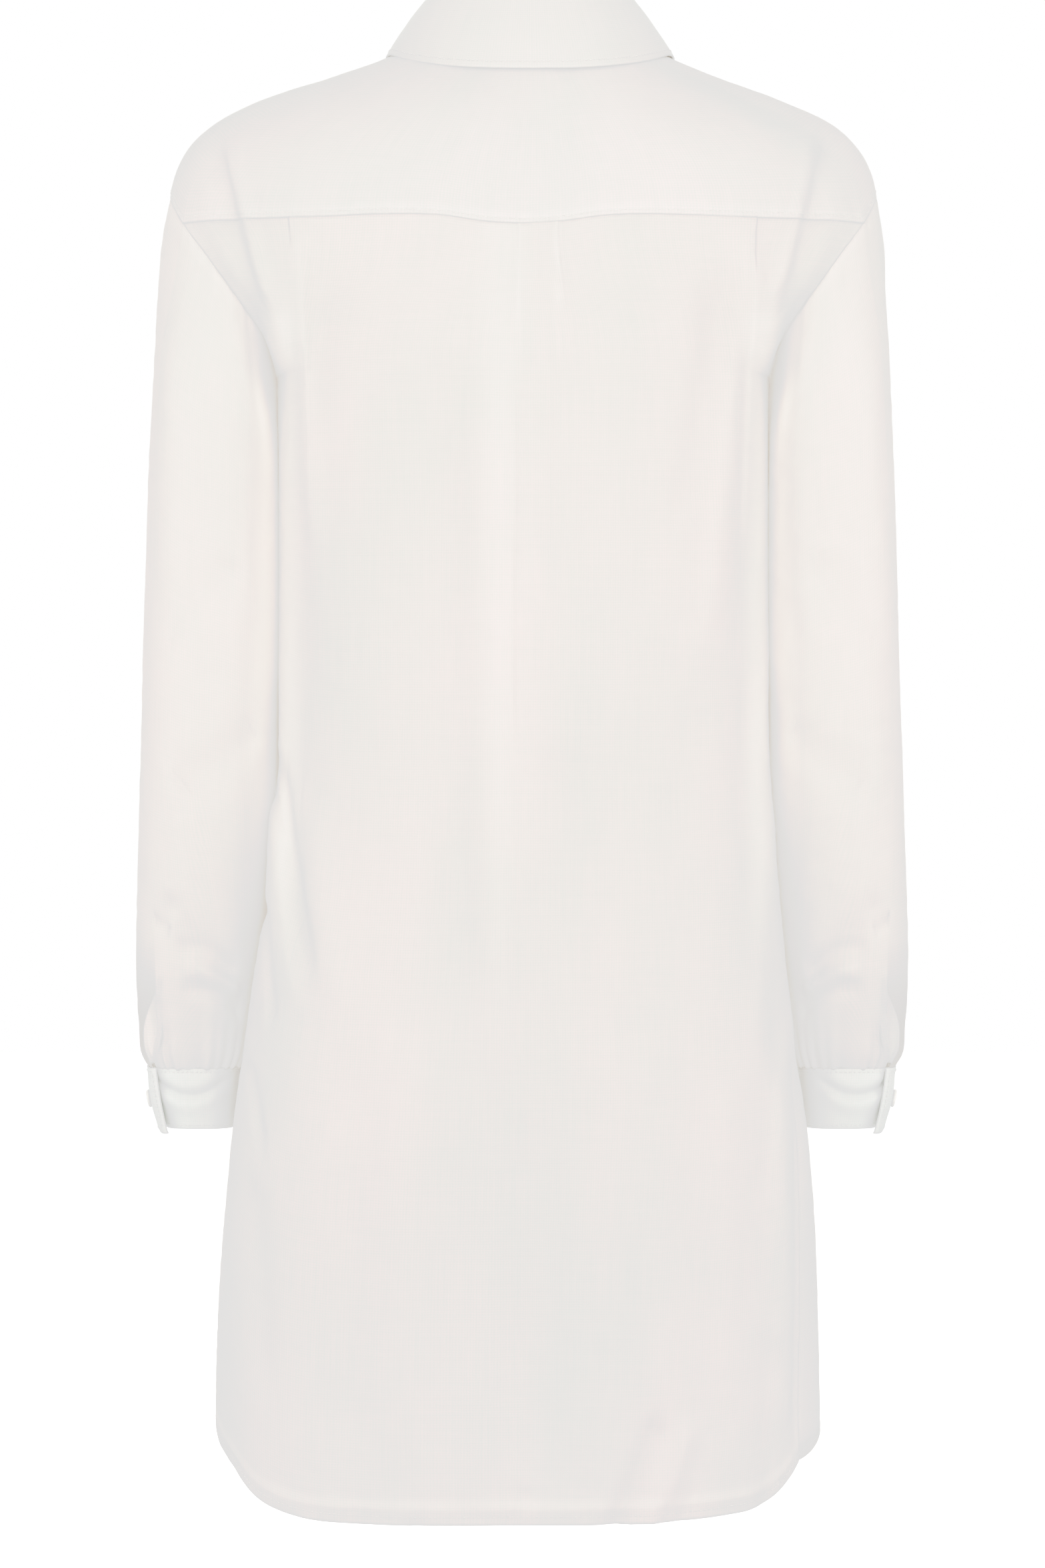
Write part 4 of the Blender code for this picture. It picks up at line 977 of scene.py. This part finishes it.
# The top of the slit lies this part of a turn further round to the back than its lower end
SLIT_SWING = 0.055
# One turn round the sleeve and round its lower end, in metres of cloth, for the places of its folds and tucks
ROUND_SLEEVE = 0.28
ROUND_WRIST = 0.22
SLEEVE_CENTRE = 0.188
# Below 1, the sleeve is flatter behind than an ellipse
SLEEVE_FULL = 0.70
# How much whiter a sleeve is, because its two walls lie close together and as painted light that lifts it out of
# the body's shade, and how much more at its seam allowance
SLEEVE_LAYERS_AND_PAINTED_LIGHT = 0.16
ALLOWANCE_LAYERS = 0.07
# The sleeve's inner side, where it touches the body, is painted whiter: painted light against the shade there.
# Before the wrist slit it is thinner, so that light comes in there
INNER_PAINTED_LIGHT = 1.7 * SLEEVE_CONTACT_PAINTED_LIGHT
SLIT_LIGHT = 1.2

# How far out each side of the tube lies, its middle and its half depth
SLEEVE = table(
    "drop outer_left outer_right inner_left inner_right middle deep",
    (80, 210.0, 210.0, 148.0, 148.0, 0.0, 56),
    (110, 216.0, 215.0, 148.0, 148.0, 0.0, 61),
    (150, 218.5, 217.0, 148.2, 148.2, 0.0, 62),
    (200, 220.8, 219.0, 147.0, 147.2, -4.0, 60),
    (280, 224.5, 222.5, 145.6, 146.2, -2.0, 57),
    (360, 227.0, 225.0, 145.5, 146.3, 1.0, 55),
    (440, 229.5, 227.5, 147.0, 147.6, 5.0, 53),
    (500, 232.0, 230.2, 152.5, 152.2, 10.0, 51),
    (545, 232.8, 231.0, 158.5, 156.5, 14.5, 48),
    (585, 231.2, 229.4, 164.0, 161.0, 24.5, 44),
    (600, 229.4, 227.6, 166.8, 163.2, 26.0, 41),
    (608, 225.0, 223.0, 170.5, 166.4, 27.0, 38),
)
# Sleeve folds: here x is the distance round the sleeve from its outer side towards the back
SLEEVE_FOLDS = table(
    FOLD,
    (84, 300, 65, 330, 45, 360, 10, -2.2, 0),
    (101, 400, 79, 420, 56, 440, 11, -2.6, 0),
    (50, 500, 73, 530, 95, 560, 8, -3, 0),
    (174, 330, 199, 355, 224, 380, 11, -2.6, 0),
    (185, 430, 216, 450, 246, 470, 11, -2.8, 0),
    (196, 540, 219, 530, 241, 520, 9, -2.6, 0),
    (40, 130, 50, 220, 46, 330, 11, 1.2, 0),
    (92, 160, 94, 260, 86, 360, 9, 1.2, 0),
    (66, 545, 84, 551, 104, 562, 3.6, 3.2, 0.4),
    (64, 556, 86, 562, 110, 576, 5, -3.6, 0),
    (60, 530, 80, 538, 100, 548, 5, -3, 0),
    (40, 515, 50, 522, 58, 524, 4.5, -2, 0),
    (64, 440, 68, 490, 60, 530, 9, 2, 0),
    (34, 490, 38, 520, 36, 560, 3.2, -1.8, 0),
    (120, 200, 126, 300, 120, 400, 12, 1.4, 0),
    (210, 160, 214, 260, 206, 360, 12, 1.6, 0),
)
# Tucks at the cuff: how far round each lies, its width, how deep it goes and how far up it reaches
CUFF_TUCKS = table(
    "turn wide deep up",
    (0.170, 2.2, 2.31, 16), (0.200, 2.6, 3.36, 26), (0.235, 2.0, 2.10, 14), (0.260, 3.0, 3.78, 30),
    (0.300, 2.4, 2.94, 18), (0.335, 2.8, 2.52, 22), (0.375, 2.2, 3.36, 15), (0.420, 3.0, 2.94, 25),
    (0.470, 2.4, 2.52, 16), (0.520, 2.8, 3.36, 24), (0.565, 2.2, 2.52, 15), (0.610, 2.8, 3.57, 28),
    (0.655, 2.2, 2.52, 16), (0.700, 3.0, 3.15, 22), (0.750, 2.4, 2.52, 15), (0.800, 2.8, 3.57, 26),
    (0.850, 2.2, 2.52, 16), (0.900, 2.8, 2.94, 20), (0.950, 2.4, 2.73, 18), (1.000, 2.6, 2.52, 15),
)


def tube(sections, key, side, turn, at):
    """A point on a sleeve or cuff tube, and the tube's middle there."""
    name = "left" if side < 0 else "right"
    columns = (f"outer_{name}", f"inner_{name}", "middle", "deep")
    outer, inner, middle, deep = (follow(sections[key], sections[column], at) for column in columns)
    angle = 2 * math.pi * turn
    aside, back = (np.sign(way) * np.abs(way) ** SLEEVE_FULL for way in (np.cos(angle), np.sin(angle)))
    return side * ((outer + inner) / 2 + (outer - inner) / 2 * aside), middle - deep * back, middle


def sleeve_surface(side, turn, rows):
    """Rows of a sleeve from the armhole to the cuff, with its folds and tucks, but with its slit closed."""
    ring = armhole(side, turn)
    s = rows[:, None]
    drop = -ring[:, 2] + (CUFF_TOP + ring[:, 2]) * s
    swing = SLIT_SWING * eased((s - SLIT_SHARE + 0.30) / 0.30) * np.minimum((1 - s) / (1 - SLIT_SHARE), 1)
    turn = turn + swing
    x, y, middle = tube(SLEEVE, "drop", side, turn, drop)
    top_x, top_y, _ = tube(SLEEVE, "drop", side, turn, -ring[:, 2])
    holding = 1 - eased((drop + ring[:, 2]) / 0.09)
    x = x + (ring[:, 0] - top_x) * holding
    y = y + (ring[:, 1] - top_y) * holding
    height = fold_height(np.broadcast_to(turn * ROUND_SLEEVE, drop.shape), drop, SLEEVE_FOLDS)
    above = np.maximum(CUFF_TOP - drop, 0)
    for at, wide, deep, up in zip(*CUFF_TUCKS.values()):
        away = (turn - at) * ROUND_WRIST
        height -= deep * bell(away, wide) * np.exp(-((above / up) ** 1.4))
        height += 0.5 * deep * bell(away, 2.2 * wide) * np.exp(-above / up)
    out = unit(points(x - side * SLEEVE_CENTRE, y - middle, 0))
    return points(x, y, -drop) + out * height[..., None]


def slit_open(place, side, rows):
    """Parts the first and last columns below the top of the wrist slit."""
    place = place.copy()
    below = np.clip((rows - SLIT_SHARE) / (1 - SLIT_SHARE), 0, None)
    half = SLIT_HALF * np.sin(math.pi * np.minimum(below, 0.86) ** 1.2) ** 1.15
    for columns in (place, place[:, ::-1]):
        fade = 1 - eased(run_along(columns.swapaxes(0, 1)).T / 0.016)
        way = unit(np.gradient(columns, axis=1))
        columns += way * (half[:, None] * fade)[..., None]
    place[:, -12:, 0] += side * 0.15 * half[:, None]
    return place


sleeve_rows = shares(0.50, 196)
sleeve_turn = YOKE_BACK_TURN + shares(0.22, 150)
sleeve_places = {}
sleeves = {}
slit_rows = int((sleeve_rows < SLIT_SHARE).sum())
for side, name in SIDES:
    place = as_seen(side, slit_open(sleeve_surface(side, sleeve_turn, sleeve_rows), side, sleeve_rows))
    place = sewn(settled(place), ("top", "bottom"), pucker=0.0003)
    place = tucked(place, "bottom", 0.0015, 0.0004)
    sleeve_places[side] = place
    turn, down = as_seen(side, sleeve_turn[None]), sleeve_rows[:, None]
    # Painted light on the sleeve's inner side, against the shade beside the body
    inner = np.exp(-(((turn - 0.5) / 0.15) ** 4)) * eased((down - 0.04) / 0.08)
    layers_and_painted_light = SLEEVE_LAYERS_AND_PAINTED_LIGHT + ALLOWANCE_LAYERS * beside(place, ("top",), 0.008)
    layers_and_painted_light = np.maximum(layers_and_painted_light, INNER_PAINTED_LIGHT * inner)
    ahead = eased((0.43 - (YOKE_BACK_TURN + 1 - turn)) / 0.24) * eased((down - SLIT_SHARE + 0.07) / 0.13)
    layers_and_painted_light = layers_and_painted_light * (1 - ahead) - SLIT_LIGHT * ahead
    sleeves[side] = panel(f"sleeve_{name}", place, joined=slit_rows, layers_and_painted_light=layers_and_painted_light)
    worn(sleeves[side], single_cloth, f"sleeve_{name}")


# The slit bindings: a narrow folded strip of the same cloth sewn over the back edge of each wrist slit,
# stitched along its inner edge.

BINDING_WIDE = 0.0042
BINDING_THICK = 0.0008
for side, name in SIDES:
    rows = as_seen(side, sleeve_places[side])[slit_rows - 3 : -3]
    way = unit(rows[:, 3] - rows[:, 0])
    out = unit(points(way[:, 1], -way[:, 0], 0) * side)
    edge = rows[:, 0] + out * 0.0008
    across = np.linspace(-0.0003, BINDING_WIDE, 6)
    strip = as_seen(side, edge[:, None] + way[:, None] * across[None, :, None])
    binding = panel(f"slit_binding_{name}", strip, BINDING_THICK)
    worn(binding, double_cloth, f"slit_binding_{name}", slot="binding")
    inner = np.s_[:, -2 if side < 0 else 1]
    stitches(f"binding_stitches_{name}", [sewing_line(strip, inner, thick=BINDING_THICK)])


# The cuffs: a stiffened double band round each wrist, creased from wear across the back. One end laps over
# the other on the outer side, fastened by a button, and its edge leans away.

CUFF_DEPTH = 0.0360
CUFF_THICK = 0.0011
CUFF = table(
    "down outer_left outer_right inner_left inner_right middle deep",
    (0.0, 225, 223, 170.5, 166.4, 27, 38.0),
    (0.5, 221, 219, 171.8, 167.6, 27, 37.2),
    (1.0, 215, 213, 173.8, 169.2, 27, 35.5),
)
CUFF_CREASES = table(
    FOLD,
    (223, 611, 199, 636, 174, 610, 2.2, -2.6, 0),
    (218, 608, 199, 627, 179, 607, 4, 1.2, 0),
    (220, 619, 199, 642, 177, 618, 4, 1.4, 0),
)
# Where the button sits round the cuff, in turns
CUFF_SPOT = 1.015

cuff_cloth = ivory_cloth("ivory stiffened cuff cloth", (0.738, 0.728, 0.712), 0.12, 0.00005)
cuff_centre = (CUFF["outer_left"][0] + CUFF["inner_left"][0]) / 2
cuff_buttons = {}
cuff_down = shares(CUFF_DEPTH, 16)[:, None]
cuff_turn = -0.02 + 1.15 * shares(0.20, 130)
for side, name in SIDES:
    x, y, middle = tube(CUFF, "down", side, cuff_turn, cuff_down)
    lap = eased((cuff_turn - 0.88) / 0.10) * 0.0020
    lean = eased((cuff_turn - 0.96) / 0.13) * (0.0006 + 0.0046 * cuff_down)
    droop = 0.003 * eased((cuff_turn - 1.0) / 0.11) * cuff_down
    out = unit(points(x - side * cuff_centre, y - middle, 0))
    place = points(x, y, -CUFF_TOP + 0.0002 - CUFF_DEPTH * cuff_down - droop)
    behind = eased((0.027 - y) / 0.020) * (cuff_turn < 0.6)
    crease = fold_height(np.abs(place[..., 0]), -place[..., 2], CUFF_CREASES) * behind
    ahead = 0.0007 * np.sin(cuff_turn * 47 + 3 * cuff_down) * np.sin(2.5 * cuff_down + 1) * (1 - behind)
    place = as_seen(side, place + out * (lap + lean + crease + ahead)[..., None])
    place = sewn(settled(place, 0.00012), ("top", "bottom", "first", "last"), roll=0.0003, pucker=0.00012)
    cuff = panel(f"cuff_{name}", place, CUFF_THICK)
    worn(cuff, cuff_cloth, f"cuff_{name}", slot="stiffened")
    sewing = [sewing_line(place[:, 4:-4], row, thick=CUFF_THICK) for row in (3, -4)]
    sewing += [sewing_line(place[4:-4], np.s_[:, column], thick=CUFF_THICK) for column in (4, -5)]
    stitches(f"cuff_stitches_{name}", sewing)
    spot = len(cuff_down) // 2, np.argmin(np.abs(as_seen(side, cuff_turn[None]) - CUFF_SPOT))
    cuff_buttons[side] = (place[spot], facing(place)[spot])


# The buttons: turned pale pearl with a raised rim and four holes, sewn on with a crossed ivory thread.
# Seven fasten the band, one the collar stand and one each cuff.

BUTTON_THICK = 0.0022
# The thread lies over this part of the button's thickness
BUTTON_FACE = 0.58
# The thread's length between button and cloth, and how it is wound there
SHANK = 0.0009
SHANK_RADIUS = 0.00075
SHANK_POINTS = 33
SHANK_TURN = 0.9
# The thread's half thickness. Its strands lie this far from the middle and above the face, dip this deep into
# the holes, and cross this much above each other.
THREAD_HALF = 0.00020
STRAND_APART = 0.00018
STRAND_UP = 0.00028
STRAND_DIP = 0.0009
CROSSING_UP = 0.00022
HOLE_OUT = 0.00125
HOLE_RADIUS = 0.00062
HOLE_ANGLES = [math.pi / 4 + k * math.pi / 2 for k in range(4)]
HOLES = [(HOLE_OUT * math.cos(angle), HOLE_OUT * math.sin(angle)) for angle in HOLE_ANGLES]
BUTTON_PROFILE = table(
    "radius height",
    (0.000, 1.276), (1.650, 1.232), (3.080, 1.276), (3.630, 1.496), (4.070, 1.980),
    (4.510, 2.200), (5.005, 2.134), (5.335, 1.804), (5.500, 1.276), (5.390, 0.792),
    (4.950, 0.220), (4.510, 0.000), (0.000, 0.000),
)

pearl, tree, shader = fresh_material("pale pearl")
pearl_place = added(tree, "TexCoord").outputs["Object"]
pearl_layers = added(tree, "TexNoise", Vector=pearl_place, Scale=260.0, Detail=3.0, Distortion=1.2).outputs["Fac"]
pearl_tint = toned(tree, pearl_layers, (0.74, 0.72, 0.68), (0.92, 0.90, 0.86))
feed(tree, shader, Base_Color=pearl_tint, Roughness=0.22, Coat_Weight=0.35)


def lathe(profile, steps):
    """A turned blank from its axis out and back to it."""
    blank = bmesh.new()
    rings = []
    for radius, height in zip(profile["radius"], profile["height"]):
        if radius == 0:
            rings.append([blank.verts.new((0, 0, height))])
            continue
        angles = [2 * math.pi * k / steps for k in range(steps)]
        rings.append([blank.verts.new((radius * math.cos(a), radius * math.sin(a), height)) for a in angles])
    for upper, lower in zip(rings, rings[1:]):
        for k in range(steps):
            corners = [upper[k % len(upper)], upper[(k + 1) % len(upper)]]
            corners += [lower[(k + 1) % len(lower)], lower[k % len(lower)]]
            blank.faces.new(list(dict.fromkeys(corners)))
    bmesh.ops.recalc_face_normals(blank, faces=blank.faces)
    return blank


def pegs():
    """The four round pegs that the holes are drilled with."""
    drill = bmesh.new()
    for hole in HOLES:
        made = bmesh.ops.create_cone(
            drill, cap_ends=True, segments=16, radius1=HOLE_RADIUS, radius2=HOLE_RADIUS, depth=4 * BUTTON_THICK
        )
        bmesh.ops.translate(drill, verts=made["verts"], vec=(*hole, 0))
    return drill


def as_object(name, built):
    data = bpy.data.meshes.new(name)
    built.to_mesh(data)
    built.free()
    return placed(name, data)


blank_button = as_object("blank_button", lathe(BUTTON_PROFILE, 48))
drill_pegs = as_object("drill_pegs", pegs())
drilling = blank_button.modifiers.new("Holes", "BOOLEAN")
drilling.object = drill_pegs
drilling.operation = "DIFFERENCE"
drilling.solver = "EXACT"
drilled = bpy.data.meshes.new_from_object(blank_button.evaluated_get(bpy.context.evaluated_depsgraph_get()))
drilled.shade_smooth()
for made in (blank_button, drill_pegs):
    bpy.data.objects.remove(made, do_unlink=True)
drilled_at = np.array([v.co[:] for v in drilled.vertices])
drilled_faces = [list(face.vertices) for face in drilled.polygons]


def sew_button(name, spot, way, clear):
    """A button that stands a thread's length off the cloth, its thread crossed over its face and wound below."""
    first = unit(np.cross(way, (0.0, 0.0, 1.0)))
    second = np.cross(way, first)
    base = spot + way * clear
    turn = np.array([first, second, way])
    data = bpy.data.meshes.new(f"{name}_pearl")
    data.from_pydata((base + drilled_at @ turn).tolist(), [], drilled_faces)
    data.shade_smooth()
    worn(placed(f"{name}_pearl", data), pearl, name, slot="button")
    strands = []
    top = BUTTON_THICK * BUTTON_FACE
    for a, b in ((0, 2), (1, 3)):
        for shift in (-STRAND_APART, STRAND_APART):
            ends = np.array([HOLES[a], HOLES[b]])
            along = unit(ends[1] - ends[0])
            aside = np.array([-along[1], along[0]]) * shift
            bow = np.linspace(-1, 1, 7)[:, None]
            flat = (ends[0] + ends[1]) / 2 + aside + (ends[1] - ends[0]) / 2 * bow
            height = top + STRAND_UP - STRAND_DIP * bow**6 + (CROSSING_UP if a else 0)
            strands.append(base + np.hstack([flat, height]) @ turn)
    wound = np.arange(SHANK_POINTS)
    round_x, round_y = (SHANK_RADIUS * way(wound * SHANK_TURN) for way in (np.cos, np.sin))
    shank = points(round_x, round_y, clear * (wound / (SHANK_POINTS - 1) - 0.95))
    strands.append(base + shank @ turn)
    curve = bpy.data.curves.new(f"{name}_thread", "CURVE")
    curve.dimensions = "3D"
    curve.bevel_depth = THREAD_HALF
    curve.bevel_resolution = 2
    for strand in strands:
        spline = curve.splines.new("POLY")
        spline.points.add(len(strand) - 1)
        for point, at in zip(spline.points, strand):
            point.co = (*at, 1.0)
    worn(placed(f"{name}_thread", curve), sewing_thread, slot="button")


for k in range(BUTTON_COUNT):
    spot, way = on_band(FIRST_BUTTON_DROP + BUTTON_STEP * k)
    sew_button(f"button_front_{k + 1}", spot, way, BAND_THICK / 2 + SHANK)
collar_spot = len(stand_place) // 2, np.argmin(np.abs(stand_around - 180))
sew_button("button_collar", stand_place[collar_spot], facing(stand_place)[collar_spot], COLLAR_THICK / 2 + SHANK)
for side, name in SIDES:
    sew_button(f"button_cuff_{name}", *cuff_buttons[side], CUFF_THICK / 2 + SHANK)


# The floor, a wide sweep of matt white with a grey painted shadow under the shirt, which glows faintly with the
# same grey, and the studio light: a soft white room, a large soft light near the camera, a weaker one at its left,
# and one behind the shirt that lights its front.

FLOOR_DROP = 1.06

floor_with_painted_shadow, tree, shader = fresh_material("matt white floor with painted shadow")
floor_place = added(tree, "NewGeometry").outputs["Position"]
floor_away = added(tree, "VectorMath", floor_place, (0.0, 0.0, -FLOOR_DROP))
floor_away.operation = "DISTANCE"
# Painted shadow: the floor's colour and faint glow are grey under the shirt and white farther off
floor_painted_shadow = toned(tree, floor_away.outputs["Value"], (0.30, 0.30, 0.30), (0.96, 0.96, 0.96), (0.20, 1.00), "EASE")
feed(tree, shader, Base_Color=floor_painted_shadow, Roughness=0.9, Specular_IOR_Level=0.1)
feed(tree, shader, Emission_Color=floor_painted_shadow, Emission_Strength=0.16)
floor_data = bpy.data.meshes.new("floor")
floor_data.from_pydata([(x, y, -FLOOR_DROP) for x, y in ((-9, -9), (9, -9), (9, 9), (-9, 9))], [], [(0, 1, 2, 3)])
floor_data.materials.append(floor_with_painted_shadow)
placed("floor", floor_data)

room = bpy.data.worlds.new("white studio")
room.use_nodes = True
feed(room.node_tree, room.node_tree.nodes["Background"], Color=(1.0, 1.0, 1.0, 1.0), Strength=1.0)
bpy.context.scene.world = room


def soft_light(name, place, aim_drop, size, power):
    data = bpy.data.lights.new(name, "AREA")
    data.shape = "DISK"
    data.size = size
    data.energy = power
    data.color = (1.0, 0.997, 0.994)
    light = placed(name, data)
    light.location = place
    way = np.array((0.0, 0.0, -aim_drop)) - np.array(place)
    level = math.hypot(way[0], way[1])
    light.rotation_euler = (math.atan2(level, -way[2]), 0.0, math.atan2(-way[0], way[1]))


soft_light("key", (0.08, -1.6, 0.10), aim_drop=0.25, size=0.7, power=8.4)
soft_light("fill", (-1.3, -3.3, -0.1), aim_drop=0.30, size=1.4, power=4.5)
soft_light("front_key", (-0.8, 2.8, 0.40), aim_drop=0.25, size=1.2, power=14.0)

# A film for pale cloth: shades lie close together near white
PALE_TONES = ((0.10, 0.39), (0.30, 0.67), (0.50, 0.736), (0.65, 0.772), (0.80, 0.868))
film = bpy.context.scene.view_settings
film.view_transform = "Standard"
film.use_curve_mapping = True
for seen, shown in PALE_TONES:
    film.curve_mapping.curves[3].points.new(seen, shown)
film.curve_mapping.update()
# Light passes many times between cloths as pale as these
cycles = bpy.context.scene.cycles
cycles.diffuse_bounces = cycles.transmission_bounces = 12
cycles.max_bounces = 16

# The camera looks level at the shirt's back, from this far off, and its frame is this high at the shirt
CAMERA_AWAY = 3.14
FRAME_HIGH = 0.9412
lens = bpy.data.cameras.new("camera")
lens.sensor_fit = "VERTICAL"
lens.sensor_height = 36.0
lens.lens = lens.sensor_height * CAMERA_AWAY / FRAME_HIGH
lens.clip_end = 60.0
camera = placed("camera", lens)
camera.location = (-0.0004, -CAMERA_AWAY, -0.437)
camera.rotation_euler = (math.radians(90.0), 0.0, 0.0)
bpy.context.scene.camera = camera
